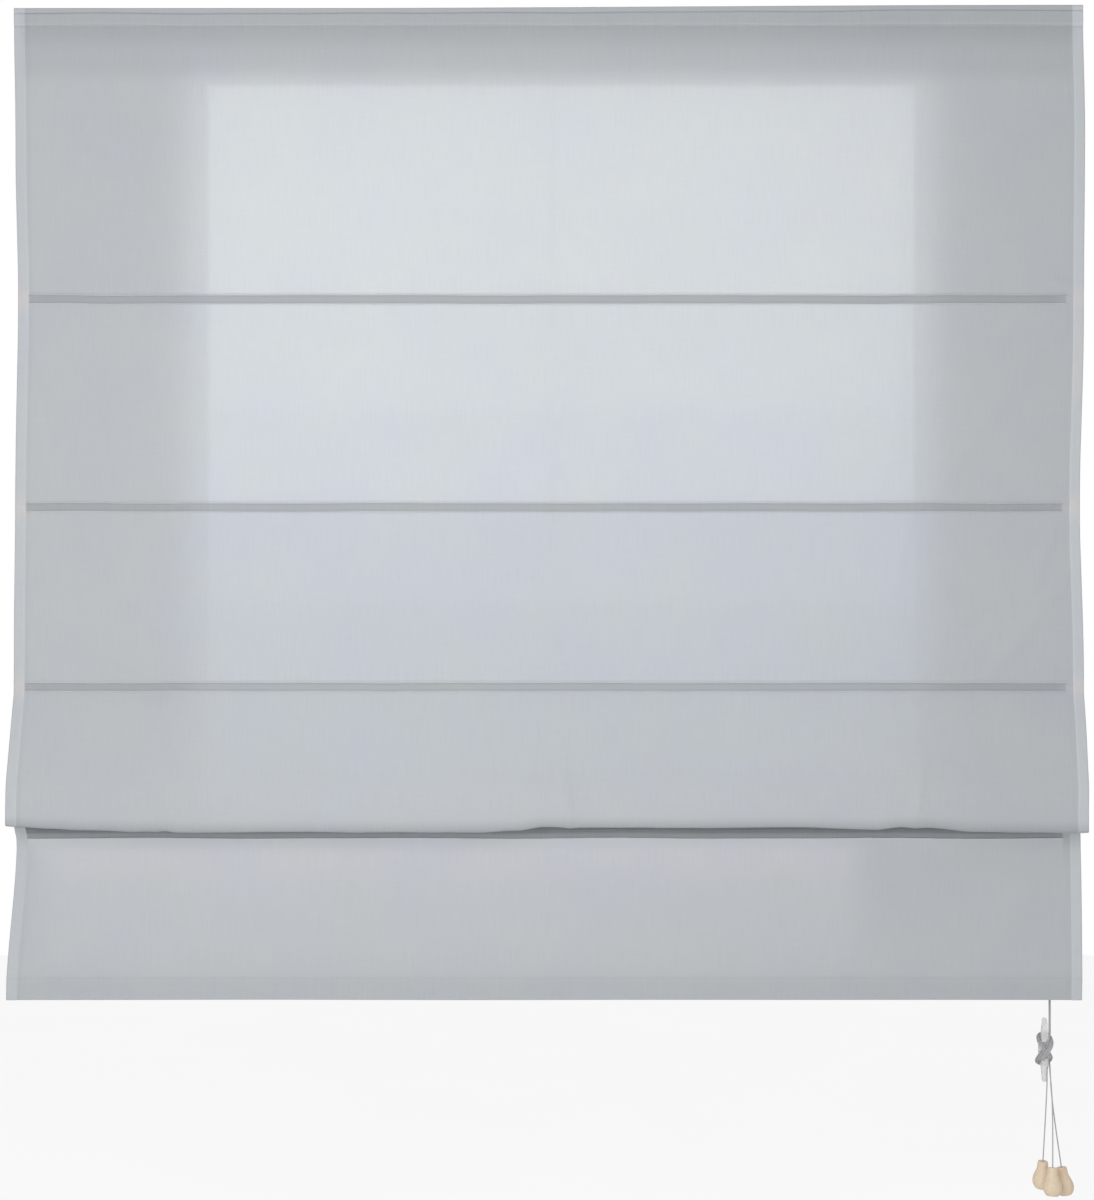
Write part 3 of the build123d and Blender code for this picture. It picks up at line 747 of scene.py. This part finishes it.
def side_marks(x, z):
    inset = from_side(x)
    on_hem = smooth((side_hem + 0.3 * MM - inset) / (0.8 * MM))
    # The dark line at the very edge is painted shade.
    seam_and_painted_shade = 0.28 * bell(inset - side_hem - 3.5 * MM, 2.6 * MM) + 1.3 * bell(inset, 0.8 * MM)
    seam_and_painted_shade -= 0.3 * bell(inset - side_hem + 0.6 * MM, 0.8 * MM)
    beside_rods = np.max([bell(z - rib, warm_reach) for rib in rib_z[:3]], axis=0)
    stretch = 0.6 * (x > 0) * smooth((z + 0.56) / 0.06) * smooth((-0.36 - z) / 0.05)
    warm = on_hem * np.maximum(beside_rods, stretch)
    # The right hem gets more of the hem mark, as painted light.
    return {"hem_and_painted_light": on_hem * (1 + 0.8 * (x > 0)), "seam_and_painted_shade": seam_and_painted_shade, "warm": warm}


def hem_thickness(x):
    """The side hem stands proud, because two layers lie there."""
    return 0.35 * MM * smooth((side_hem - from_side(x)) / (1.0 * MM))


# %% [markdown]
# ## Header
#
# The top of the cloth is folded over and held on the rail by hook-and-loop tape. It shows
# as a narrow strip over a sewn crease, a flat band painted darker as the shade of the tape
# behind it, and a light lip over a second crease, where the tape's lower seam is sewn. The
# lip's light is a painted highlight, and the dark line along the top edge and the band below
# the lip are painted shade. The seams waver, and rise a little to the right. All of it rides
# with the wall brackets, which never move.

# %% Header sheet
header_end = 28 * MM
header_base = cloth_top - header_end
tape_top, tape_lip = 10.4 * MM, -5.4 * MM
header_profile = [
    # height above the origin and how far forward, in mm
    (-10.0, 0.0), (-8.6, 0.5), (-7.2, 1.1), (-6.4, 0.7), (-6.0, 0.2), (-5.6, 0.8), (-4.0, 1.2),
    (2.0, 1.3), (8.4, 1.25), (9.6, 0.9), (10.2, 0.15), (10.8, 0.9), (12.0, 1.5), (15.5, 1.45),
    (17.2, 1.0), (18.0, 0.1),
]


def between_hems(x):
    """1 over most of the width, fading out on the side hems."""
    return smooth((from_side(x) - 6 * MM) / (14 * MM))


def hang_header(x, distance, behind):
    z = cloth_top - distance
    above_base = z - header_base
    inside = smooth(from_side(x) / (20 * MM))
    forward = through(header_profile, z)
    forward += 0.35 * MM * wander(x, z, 5, 0.11) * smooth(above_base / (6 * MM)) * inside
    at_ends = smooth((cloth_top - z) / (3 * MM)) * smooth(above_base / (3 * MM))
    forward += hem_thickness(x) * at_ends
    marks = side_marks(x, z)
    # The line at the tape's top is stitching; the rest is painted: shade along the top edge, over
    # the band in front of the tape and under the lip, and a painted highlight on the lip.
    stitching_and_painted_shade = 0.7 * bell(z - tape_top, 0.9 * MM) + 1.2 * bell(cloth_top - z, 0.8 * MM)
    stitching_and_painted_shade += 0.45 * between_hems(x) * smooth((17 * MM - z) / (2 * MM))
    stitching_and_painted_shade += 0.7 * smooth((-6.5 * MM - z) / (2.5 * MM)) - 0.5 * bell(z - tape_lip, 0.8 * MM)
    marks["seam_and_painted_shade"] = marks["seam_and_painted_shade"] + stitching_and_painted_shade
    waver = 1.1 * MM * wander(x, x * 0, 5, 0.16, 4)
    waver *= smooth((cloth_top - z) / (6 * MM)) * smooth(above_base / (4 * MM))
    waver += 4.5 * MM * smooth((x + 0.35) / 1.1) * smooth(above_base / (13 * MM))
    points = np.stack([to_edges(x, z), cloth_y - forward + behind, z + waver], axis=1)
    return points, marks


header_rows = np.concatenate([
    np.linspace(0, 7, 12), np.linspace(7.4, 8.6, 7), np.linspace(9.2, 22.6, 14),
    np.linspace(23.2, 28, 15),
]) * MM
header = cloth_sheet("cloth_header", header_rows, hang_header, 0.0, turned=False)
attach(header, "root")

# %% [markdown]
# ## Rod pockets
#
# Across each rib, a tape is sewn to the back of the cloth and holds a rod. From the front
# it shows as a narrow strip between two lips: the upper lip hangs over the strip like a
# tiny step, and the lower one turns up and catches the light. One profile is used for all
# four, and it fades out where the rod ends. The strip is painted darker, as the shade of the
# four layers that keep the light behind out, and less so where the lamps shine through them.
# Painted shadows lie just inside both lips, and painted highlights on them. The fourth strip
# lies in the fold's shade, so it is painted the darkest, with a broad painted light line
# under it.

# %% Rod pocket sheets
pocket_profile = [
    # height from the rod's middle and how far forward, in mm
    (-9.0, 0.0), (-8.0, 0.25), (-6.8, 0.8), (-5.9, 1.15), (-5.3, 1.1), (-5.0, 0.5),
    (-4.6, -0.45), (-3.8, -0.5), (-1.0, -0.3), (2.5, 0.1), (4.2, 0.3), (4.9, 0.35), (5.2, 1.2),
    (5.6, 1.75), (6.4, 1.6), (7.6, 0.7), (9.0, 0.0),
]
pocket_rows = np.array([
    9, 8.2, 7.4, 6.8, 6.3, 5.9, 5.6, 5.4, 5.2, 5.05, 4.9, 4.6, 4.0, 3.2, 2.2, 1.1, 0, -1.2,
    -2.4, -3.4, -4.0, -4.4, -4.65, -4.85, -5.0, -5.2, -5.45, -5.8, -6.3, -6.9, -7.6, -8.3, -9,
]) * MM
strip_half = 4.9 * MM
strip_edge = 0.6 * MM
last_lower = 2.0 * MM           # the fourth pocket sags by this much


def in_pocket(x):
    """1 over the rod, fading to 0 where the pocket ends."""
    return smooth((x - pocket_left) / (2.4 * MM)) * smooth((pocket_right - x) / (3.2 * MM))


def rod_waver(x, rib):
    """The sewn line isn't quite straight."""
    slow, quick = wander(x, x * 0, 31 + rib, 0.30, 4), wander(x, x * 0, 57 + rib, 0.05, 4)
    return 0.75 * MM * slow + 0.25 * MM * quick


def pocket_marks(x, level):
    """The painted shade of the strip, and the painted shadows and highlights along its lips, of the
    first three pockets.
    """
    # Painted shadows just inside both lips, and painted highlights on them.
    lip_shade_and_highlights = 0.9 * bell(level - 4.7 * MM, 0.55 * MM) - 0.35 * bell(level - 6.6 * MM, 0.8 * MM)
    lip_shade_and_highlights += 0.25 * bell(level + 4.3 * MM, 0.5 * MM) - 0.45 * bell(level + 5.7 * MM, 0.6 * MM)
    # The strip's painted shade is stronger beside the glow, where no light comes through.
    beside_glow = 1 - smooth((x + 0.53) / 0.06) * smooth((0.57 - x) / 0.06)
    strip = smooth((strip_half - np.abs(level)) / strip_edge)
    return lip_shade_and_highlights + strip * (0.52 + 0.54 * beside_glow)


def shaded_marks(level):
    """The painted shade of the fourth pocket's strip, under the fold, a painted shadow line low in
    it, and a painted light line below it.
    """
    # Painted shade of the fold over the strip, darkest at its top.
    strip = smooth((level + strip_half) / strip_edge)
    strip *= 1.5 + 1.4 * smooth((level + 1 * MM) / (5 * MM))
    low_shadow_line = 0.25 * bell(level + 4.3 * MM, 0.5 * MM)
    return strip + low_shadow_line - 1.5 * smooth((-strip_half - level) / (0.9 * MM))


def make_pocket(rib, body, flat_top):
    def hang(x, distance, behind):
        level = band_half - distance
        over = in_pocket(x)
        forward = through(pocket_profile, level) * over
        forward *= 1 + 0.16 * wander(x, level, 71 + rib, 0.02, 5)
        crease = bell(level - 2.5 * MM, 1.6 * MM) * (1 - over) * smooth((np.abs(x) - 0.70) / 0.02)
        forward += 0.5 * MM * crease * smooth((from_side(x) - 4 * MM) / (8 * MM))
        forward += hem_thickness(x)
        fade = smooth((band_half - np.abs(level)) / (4 * MM))
        lower = last_lower if rib == 3 else 0.0
        z = rib_z[rib] + level + (rod_waver(x, rib) - lower) * fade
        marks = side_marks(x, z)
        painted = shaded_marks(level) if rib == 3 else pocket_marks(x, level)
        marks["seam_and_painted_shade"] = marks["seam_and_painted_shade"] + painted * over
        points = np.stack([to_edges(x, z), cloth_y - forward + behind, z], axis=1)
        return points, marks

    name = f"cloth_pocket_{rib + 1}"
    pocket = cloth_sheet(name, band_half - pocket_rows, hang, flat_top)
    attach(pocket, body)
    return pocket


fold_top = cloth_top - rib_z[2] + band_half         # metres of flat cloth above the fold
last_pocket_top = fold_top + fold_line.length
pocket_tops = [cloth_top - z - band_half for z in rib_z[:3]] + [last_pocket_top]
pockets = [make_pocket(*facts) for facts in zip(range(4), rib_bodies, pocket_tops)]

# %% [markdown]
# ## The three flat panels
#
# Between two ribs the cloth hangs straight. It swells a little, and its creases are small
# and soft. The first panel is painted darker just below the header, as shade where the rail
# is behind it. On the real blind, as the lower rib rises, a panel gathers towards its upper
# edge, down to the few centimetres that the gathered cloth takes; here each panel rides on
# the body at its upper edge.

# %% Panel sheets


def hang_panel(number, top, length, x, distance, behind):
    z = top - distance
    ends = smooth(distance / (14 * MM)) * smooth((length - distance) / (14 * MM))
    forward = 1.6 * MM * np.sin(math.pi * distance / length) ** 2
    forward += 1.1 * MM * wander(x, z, 11 + number, 0.42)
    forward += 0.35 * MM * wander(x, z, 17 + number, 0.10)
    forward = (forward + creased(x, z)) * ends
    forward = np.maximum(forward, -0.4 * MM) + hem_thickness(x)
    marks = side_marks(x, z)
    if number == 0:
        # Painted shade below the header.
        shade = 0.50 * smooth((z + 92 * MM) / (30 * MM)) + 0.55 * smooth((z + 46 * MM) / (34 * MM))
        marks["seam_and_painted_shade"] = marks["seam_and_painted_shade"] + shade * between_hems(x)
    points = np.stack([to_edges(x, z), cloth_y - forward + behind, z], axis=1)
    return points, marks


def make_panel(number, top, bottom, body):
    length = top - bottom
    end = length / MM
    rows = [[0, 1.5, 3.5], np.arange(6, end - 4, 6.0), [end - 3.5, end - 1.5, end]]
    hang = functools.partial(hang_panel, number, top, length)
    name = f"cloth_panel_{number + 1}"
    panel = cloth_sheet(name, np.concatenate(rows) * MM, hang, cloth_top - top)
    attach(panel, body)
    gather(panel, number, length)
    return panel


panel_tops = [header_base] + [z - band_half for z in rib_z[:2]]
panel_ends = [z + band_half for z in rib_z[:3]]
panel_bodies = ("root", "rib_1", "rib_2")
panels = [make_panel(*facts) for facts in zip(range(3), panel_tops, panel_ends, panel_bodies)]

# %% [markdown]
# ## The hanging fold
#
# Below the third rib the bottom section has been pulled up a little, so the cloth hangs
# out in a fold in front of the fourth rib. The cords hold the cloth up at three places,
# and between them its lower edge sags. Its front hangs from the third rib and its underside
# runs back to the fourth; the piece is fixed where it hangs, on no rib's body. Its lowest
# part is painted darker, since the cloth turns away from the light there.

# %% Fold sheet
fold_edge = [
    # across and how far the fold's lower edge stands above its mean, in mm
    (-760, 6.0), (-735, 4.6), (-690, 2.0), (-640, 0.2), (-560, -1.4), (-532, -0.8), (-512, -3.4),
    (-300, -3.6), (-95, -2.6), (-45, 0.0), (-6, 4.8), (60, 3.4), (200, 2.6), (330, 3.2),
    (450, 0.3), (488, 4.2), (522, 4.0), (590, -1.2), (660, -2.8), (735, -4.0), (760, -3.6),
]
lip_height = 19 * MM


def hang_fold(x, distance, behind):
    y, z, out_y, out_z = fold_line.at(distance)
    at_bottom = bell(z - fold_bottom, 45 * MM) * smooth((cloth_y - y) / (22 * MM))
    ends = smooth(distance / (16 * MM)) * smooth((fold_line.length - distance) / (12 * MM))
    lift = through(fold_edge, x) * at_bottom
    wave = (1.5 * MM * wander(x, z, 41, 0.40) + 0.4 * MM * wander(x, z, 43, 0.11)) * ends
    free = smooth((cloth_y - y - 4 * MM) / (20 * MM) + (z > rib_z[2] - 0.06))
    wave += creased(x, z) * ends * free + hem_thickness(x)
    out = wave - behind
    points = np.stack([to_edges(x, z), y + out_y * out, z + lift + out_z * out], axis=1)
    marks = side_marks(x, z)
    underside = smooth((y - fold_front - 4 * MM) / (10 * MM))
    lip = smooth((fold_bottom + lip_height - z) / lip_height) * (1.35 - 0.7 * underside)
    marks["seam_and_painted_shade"] = marks["seam_and_painted_shade"] + lip
    return points, marks


fold_end = fold_line.length / MM
fold_rows = np.concatenate([
    [0, 1.5, 3.5], np.arange(7, 160, 6.5), np.arange(162, fold_end - 5, 2.2),
    [fold_end - 3.5, fold_end - 1.5, fold_end],
]) * MM
fold = cloth_sheet("cloth_fold", fold_rows, hang_fold, fold_top)
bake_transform(fold)

# %% [markdown]
# ## The bottom panel and its hem
#
# The last panel hangs from the fourth rib and tilts forward to the bottom hem, which is
# turned up to the back round the weight bar. Its stitching shows as a faint line. The top
# of the panel is painted lighter, where it comes out of the fold's shade.

# %% Bottom panel sheet


def hang_bottom(x, distance, behind):
    y, z, out_y, out_z = bottom_line.at(distance)
    fade = smooth(distance / (16 * MM)) * smooth((z - hem_z - 10 * MM) / (60 * MM))
    on_front = np.where(distance > bottom_line.length - hem_height, 0, 1)
    wave = (1.8 * MM * wander(x, z, 61, 0.45) + 0.4 * MM * wander(x, z, 63, 0.12)) * fade
    out = (wave + creased(x, z) * fade + hem_thickness(x)) * on_front - behind
    sag = -0.6 * MM * wander(x, x * 0, 65, 0.5, 4) * smooth((hem_z + 40 * MM - z) / (40 * MM))
    points = np.stack([to_edges(x, z), y + out_y * out, z + sag + out_z * out], axis=1)
    marks = side_marks(x, z)
    stitching_and_painted_shade = 0.35 * bell(z - hem_z - hem_height + 3 * MM, 0.8 * MM) * on_front
    light = 1.2 * np.exp(-distance / (13 * MM)) * in_pocket(x)
    marks["seam_and_painted_shade"] = np.maximum(marks["seam_and_painted_shade"], stitching_and_painted_shade) - light
    return points, marks


bottom_end = bottom_line.length / MM
turn_start = bottom_end - hem_height / MM - 10
bottom_rows = np.concatenate([
    [0, 1.5, 3.5], np.arange(7, 186, 6.0), np.arange(188, 196, 1.0),
    np.arange(198, turn_start, 4.0), np.arange(turn_start, turn_start + 12, 0.5),
    np.linspace(turn_start + 13, bottom_end, 6),
]) * MM
bottom_top = last_pocket_top + 2 * band_half
bottom_panel = cloth_sheet("cloth_bottom_panel", bottom_rows, hang_bottom, bottom_top)
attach(bottom_panel, "bottom_section")

# %% [markdown]
# ## The cloth's sheets
#
# Every sheet is listed with the flat length it was cut to and what it rests on, and its
# width, with the side hems where it has them, is worked out. Together they stand for the one
# cloth node of the model, which is hidden.

cut_width = 2 * (half_width + side_hem)
tapes = [f"pocket_tape_{rib + 1}" for rib in range(4)]
cloth = [
    # sheet, its flat length, and what it rests on
    (header, header_end, ["loop_tape"]),
    (panels[0], 0.3717, ["loop_tape", tapes[0]]),
    (panels[1], 0.2736, tapes[0:2]),
    (panels[2], 0.2337, tapes[1:3]),
    (fold, float(fold_line.length), tapes[2:4]),
    (bottom_panel, float(bottom_line.length), [tapes[3], "hem_bar"]),
    *((pocket, 2 * band_half, [tape]) for pocket, tape in zip(pockets, tapes)),
]
for sheet, length, rests_on in cloth:
    width = 2 * half_width if sheet == header else cut_width
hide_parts("fabric")
print("cloth in", len(cloth), "sheets, drop", round(sum(row[1] for row in cloth), 4), "m")

# %% [markdown]
# ## Finishes of the hard pieces
#
# Each hard piece comes from the model with its exact shape, and gets a finish here. The
# same few ideas serve them all: a soft noise for uneven colour, a fine one for relief,
# and roughness that varies with both.

# %% A finish for mouldings and metal


def plain_finish(name, colour, rough, grain, depth, stretch=(1, 1, 1), **constants):
    """Colour with slow clouds, and a fine grain in relief and roughness."""
    finish = Finish(name)
    clouds = finish.noise(finish.place(), 40.0, 3.0)
    fine = finish.noise(finish.place(stretch), grain, 4.0, 0.6)
    return finish.done(finish.principled(
        Base_Color=finish.shade(colour, 1.0 + clouds * 0.10 + fine * 0.08),
        Roughness=rough + fine * 0.12 + clouds * 0.06,
        Normal=finish.relief(fine, depth * MM),
        **constants,
    ))


lacquer = plain_finish(
    "white_lacquer", tone(236, 237, 238), 0.34, 900.0, 0.02, Coat_Weight=0.3
)
cap_white = plain_finish("moulded_white_cap", tone(232, 233, 234), 0.45, 1600.0, 0.03)
zinc = plain_finish(
    "zinc_plated_steel", tone(196, 198, 203), 0.33, 700.0, 0.02, (1, 1, 6), Metallic=1.0
)
pin_steel = plain_finish(
    "drawn_steel", tone(205, 205, 208), 0.28, 900.0, 0.02, (0.1, 1, 1), Metallic=1.0
)
lever_blue_grey = plain_finish("moulded_lever", tone(214, 216, 219), 0.42, 1500.0, 0.03)
guide_nylon = plain_finish(
    "guide_nylon", tone(228, 229, 228), 0.38, 1300.0, 0.03,
    Subsurface_Weight=0.1, Subsurface_Scale=0.002,
)
pulley_acetal = plain_finish("pulley_acetal", tone(240, 240, 238), 0.3, 1800.0, 0.02)
cam_steel = plain_finish("toothed_cam", tone(190, 186, 170), 0.36, 1200.0, 0.03, Metallic=1.0)
rod_glass = plain_finish(
    "glass_fibre_rod", tone(236, 235, 226), 0.4, 260.0, 0.02, (0.03, 8, 8), Coat_Weight=0.2
)
ring_plastic = plain_finish(
    "ring_plastic", tone(238, 240, 241), 0.2, 1500.0, 0.01, Transmission_Weight=0.35
)
orb_plastic = plain_finish("orb_plastic", tone(235, 236, 238), 0.24, 1500.0, 0.02, Coat_Weight=0.3)
bar_aluminium = plain_finish(
    "rolled_aluminium", tone(208, 210, 213), 0.3, 600.0, 0.02, (0.04, 1, 1), Metallic=1.0
)

# %% [markdown]
# The two halves of the tape fastening look different close up: one is a field of stiff
# hooks in rows, the other a soft felt of loops. Both are patterns in relief. The pocket
# tapes are a narrow ribbed weave.

# %% Tapes


def tape_finish(name, colour, pitch, depth, fuzz_share):
    """Rows of small knobs, whose pitch and depth are in mm, with fuzz over them."""
    finish = Finish(name)
    at = finish.place()
    along, _, upwards = finish.split(at)
    turns = 2 * math.pi / (pitch * MM)
    rows = (along * turns).sine() * (upwards * turns).sine()
    fuzz = finish.noise(at, 1500.0, 4.0, 0.65)
    height = rows * (1 - fuzz_share) + fuzz * (2 * fuzz_share)
    return finish.done(finish.principled(
        Base_Color=finish.shade(colour, 0.96 + rows * 0.06 + fuzz * 0.2),
        Roughness=0.85 + fuzz * 0.15,
        Normal=finish.relief(height, depth * MM),
        Sheen_Weight=0.2,
    ))


hook_finish = tape_finish("hook_tape", tone(226, 227, 228), 1.6, 0.35, 0.15)
loop_finish = tape_finish("loop_tape", tone(222, 223, 225), 0.9, 0.25, 0.75)
pocket_finish = tape_finish("pocket_tape", tone(218, 220, 222), 0.8, 0.15, 0.3)

# %% [markdown]
# The cleat is clear moulded plastic, with slow ripples that bend what is seen through it.

# %% Clear cleat


def clear_moulding():
    finish = Finish("clear_moulding")
    at = finish.place()
    ripple = finish.noise(at, 90.0, 2.0)
    fine = finish.noise(at, 1200.0, 3.0)
    clear, milky = tone(252, 252, 250), tone(242, 243, 241)
    return finish.done(finish.principled(
        Base_Color=finish.mix((ripple * 2.0).above(0.0, 1.5), clear, milky),
        Roughness=0.12 + fine * 0.06,
        Normal=finish.relief(ripple + fine * 0.05, 0.5 * MM),
        Transmission_Weight=0.42,
        IOR=1.49,
    ))


clear_plastic = clear_moulding()

# %% [markdown]
# ## Turned wood of the pulls
#
# The pulls are turned from pale beech, with the grain along their length. Growth rings are
# long wavy bands, and beech has small dark flecks between them. Both are noises stretched
# along the pull: small across and long along.

# %% Pale beech


def pale_beech():
    finish = Finish("pale_beech")
    at = finish.place((1, 1, 0.14))
    bands = finish.noise(at, 260.0, 5.0, 0.6)
    broad = finish.noise(at, 70.0, 2.0)
    flecks = finish.noise(finish.place((1, 1, 0.1)), 1500.0, 2.0)
    fleck = flecks.above(0.17, 0.1)
    grain = (bands * 1.6 + broad * 1.2).above(0.0, 1.2)
    base = finish.mix(grain, tone(214, 190, 160), tone(232, 214, 190))
    base = finish.mix(fleck * 0.5, base, tone(182, 146, 112))
    relief = finish.relief(bands * 0.6 - fleck * 0.5, 0.12 * MM)
    return finish.done(finish.principled(
        Base_Color=base, Roughness=0.5 + bands * 0.16, Normal=relief, Coat_Weight=0.06,
    ))


beech = pale_beech()

# %% Give every hard piece its finish
finishes = {
    "headrail": lacquer, "end_cap_left": cap_white, "end_cap_right": cap_white,
    "hook_tape": hook_finish, "loop_tape": loop_finish,
    "bracket_rivets": zinc, "cross_pins": pin_steel,
    "cord_lock": guide_nylon, "lock_roller": pulley_acetal, "lock_cam": cam_steel,
    "cleat": clear_plastic, "hem_bar": bar_aluminium,
}
by_side = {
    "bracket": zinc, "bracket_lever": lever_blue_grey, "cord_guide": guide_nylon,
    "guide_pulley": pulley_acetal, "cord_orb": orb_plastic, "pull": beech,
}
by_rib = {"pocket_tape": pocket_finish, "rod": rod_glass, "rings": ring_plastic}
finishes.update({f"{name}_{side}": made for name, made in by_side.items() for side in sides})
finishes.update({f"{name}_{n}": made for name, made in by_rib.items() for n in (1, 2, 3, 4)})
for node, finish in finishes.items():
    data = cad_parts[node].data
    data.materials.clear()
    data.materials.append(finish)
unfinished = sorted(n for n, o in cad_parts.items() if n not in finishes and not o.hide_render)
print("finishes on", len(finishes), "nodes; without one:", unfinished)

# %% [markdown]
# ## Light behind the cloth
#
# The cloth hangs before a bright opening, whose light shows through it as a soft bright
# field that fades and cools downwards. A stack of wide, low lamps close behind the cloth
# gives that. Each step of the stack is two lamps: a wide one that shines to all sides, and
# a narrow one with a tight beam, which keeps the sides of the field crisp. Three weak pink
# lamps lower down warm the bottom panel. All shine forward only, and the camera sees none.

# %% Lamps behind the cloth
opening_left, opening_right = -0.489, 0.527
opening_top = -0.091
first_top = opening_top + 14 * MM
lamp_y = -2 * MM
glow_strength = 3.05
glow = [
    # lower edge (m), strength, colour; each starts where the one before ends
    (-0.250, 1.00, (1.0, 1.0, 1.0)),
    (-0.391, 1.00, (1.0, 1.0, 1.0)),
    (-0.540, 0.93, (0.96, 0.97, 1.0)),
    (-0.682, 0.85, (0.87, 0.90, 1.0)),
    (-0.810, 0.60, (0.76, 0.80, 1.0)),
    (-0.934, 0.46, (0.76, 0.80, 1.0)),
    (-1.040, 0.34, (0.76, 0.82, 1.0)),
    (-1.115, 0.30, (0.80, 0.86, 1.0)),
]
kinds = [
    # name, left and right edge, top of the stack, share of the strength, spread in degrees
    ("wide", opening_left - 17 * MM, opening_right + 12 * MM, first_top, 0.66, 180),
    ("narrow", opening_left + 12 * MM, opening_right - 16 * MM, opening_top, 0.34, 24),
]
low_glow = [
    # upper and lower edge (m), strength, colour
    (-1.160, -1.190, 0.40, (1.0, 0.82, 0.93)),
    (-1.190, -1.240, 0.20, (1.0, 0.82, 0.93)),
    (-1.240, -1.320, 0.13, (1.0, 0.84, 0.95)),
]


def soft_lamp(name, at, size, power, colour, aim, spread=180):
    data = bpy.data.lights.new(name, "AREA")
    data.shape = "RECTANGLE"
    data.size, data.size_y = size
    data.energy = power
    data.color = colour
    data.spread = math.radians(spread)
    lamp = bpy.data.objects.new(name, data)
    lamp.location = at
    lamp.rotation_euler = Vector(aim).to_track_quat("-Z", "Y").to_euler()
    lamp.visible_camera = False
    bpy.context.scene.collection.objects.link(lamp)


def opening_lamp(name, left, right, top, bottom, strength, colour, spread):
    size = (right - left, top - bottom)
    at = ((left + right) / 2, lamp_y, (top + bottom) / 2)
    power = glow_strength * strength * size[0] * size[1] * math.pi
    soft_lamp(name, at, size, power, colour, (0, -1, 0), spread)


top = first_top
for number, (bottom, strength, colour) in enumerate(glow):
    for kind, left, right, highest, share, spread in kinds:
        name = f"opening_{kind}_{number}"
        upper = min(top, highest)
        opening_lamp(name, left, right, upper, bottom, strength * share, colour, spread)
    top = bottom
for number, (top, bottom, strength, colour) in enumerate(low_glow):
    opening_lamp(f"opening_low_{number}", -0.71, 0.43, top, bottom, strength, colour, 120)
print("lamps behind the cloth", len(glow) * len(kinds) + len(low_glow))

# %% [markdown]
# ## Studio light and floor
#
# A bright even surround gives the soft, nearly shadowless light of a studio, and one large
# lamp from the upper left front models the folds. The floor is a plain pale sheet, well
# below the pulls. To the camera it also glows a little, so that it looks evenly lit.

# %% Surround, front lamp and floor
world = bpy.data.worlds.new("surround")
bpy.context.scene.world = world
world.use_nodes = True
nodes, links = world.node_tree.nodes, world.node_tree.links
nodes.clear()


def background(colour, strength):
    node = nodes.new("ShaderNodeBackground")
    node.inputs["Color"].default_value = (*colour, 1)
    node.inputs["Strength"].default_value = strength
    return node.outputs[0]


choose = nodes.new("ShaderNodeMixShader")
seen_by_camera = nodes.new("ShaderNodeLightPath").outputs["Is Camera Ray"]
links.new(seen_by_camera, choose.inputs[0])
links.new(background((0.98, 0.988, 1), 0.63), choose.inputs[1])
links.new(background((1, 1, 1), 1.0), choose.inputs[2])
links.new(choose.outputs[0], nodes.new("ShaderNodeOutputWorld").inputs["Surface"])

front_at = Vector((-0.42, -2.1, -0.50))
front_aim = Vector((0, 0, -0.75)) - front_at
soft_lamp("front_lamp", front_at, (1.7, 1.7), 26, (1, 0.99, 0.985), front_aim)

floor_z = -1.80
bpy.ops.object.select_all(action="DESELECT")
bpy.ops.mesh.primitive_circle_add(
    vertices=96, radius=3.2, fill_type="NGON", location=(0, 0, floor_z)
)
floor = bpy.context.active_object
floor.name = "floor"
pale = Finish("pale_floor")
pale_tone = pale.shade(tone(246, 246, 246), 1.0 + pale.noise(pale.place(), 3.0) * 0.02)
matte = pale.principled(Base_Color=pale_tone, Roughness=0.8)
glowing = pale.add("ShaderNodeEmission", None, {"Color": pale_tone, "Strength": 1.08})
glow_share = pale.add("ShaderNodeLightPath", output="Is Camera Ray") * 0.85
both = pale.add("ShaderNodeMixShader", None, {0: glow_share, 1: matte, 2: glowing})
floor.data.materials.append(pale.done(both))
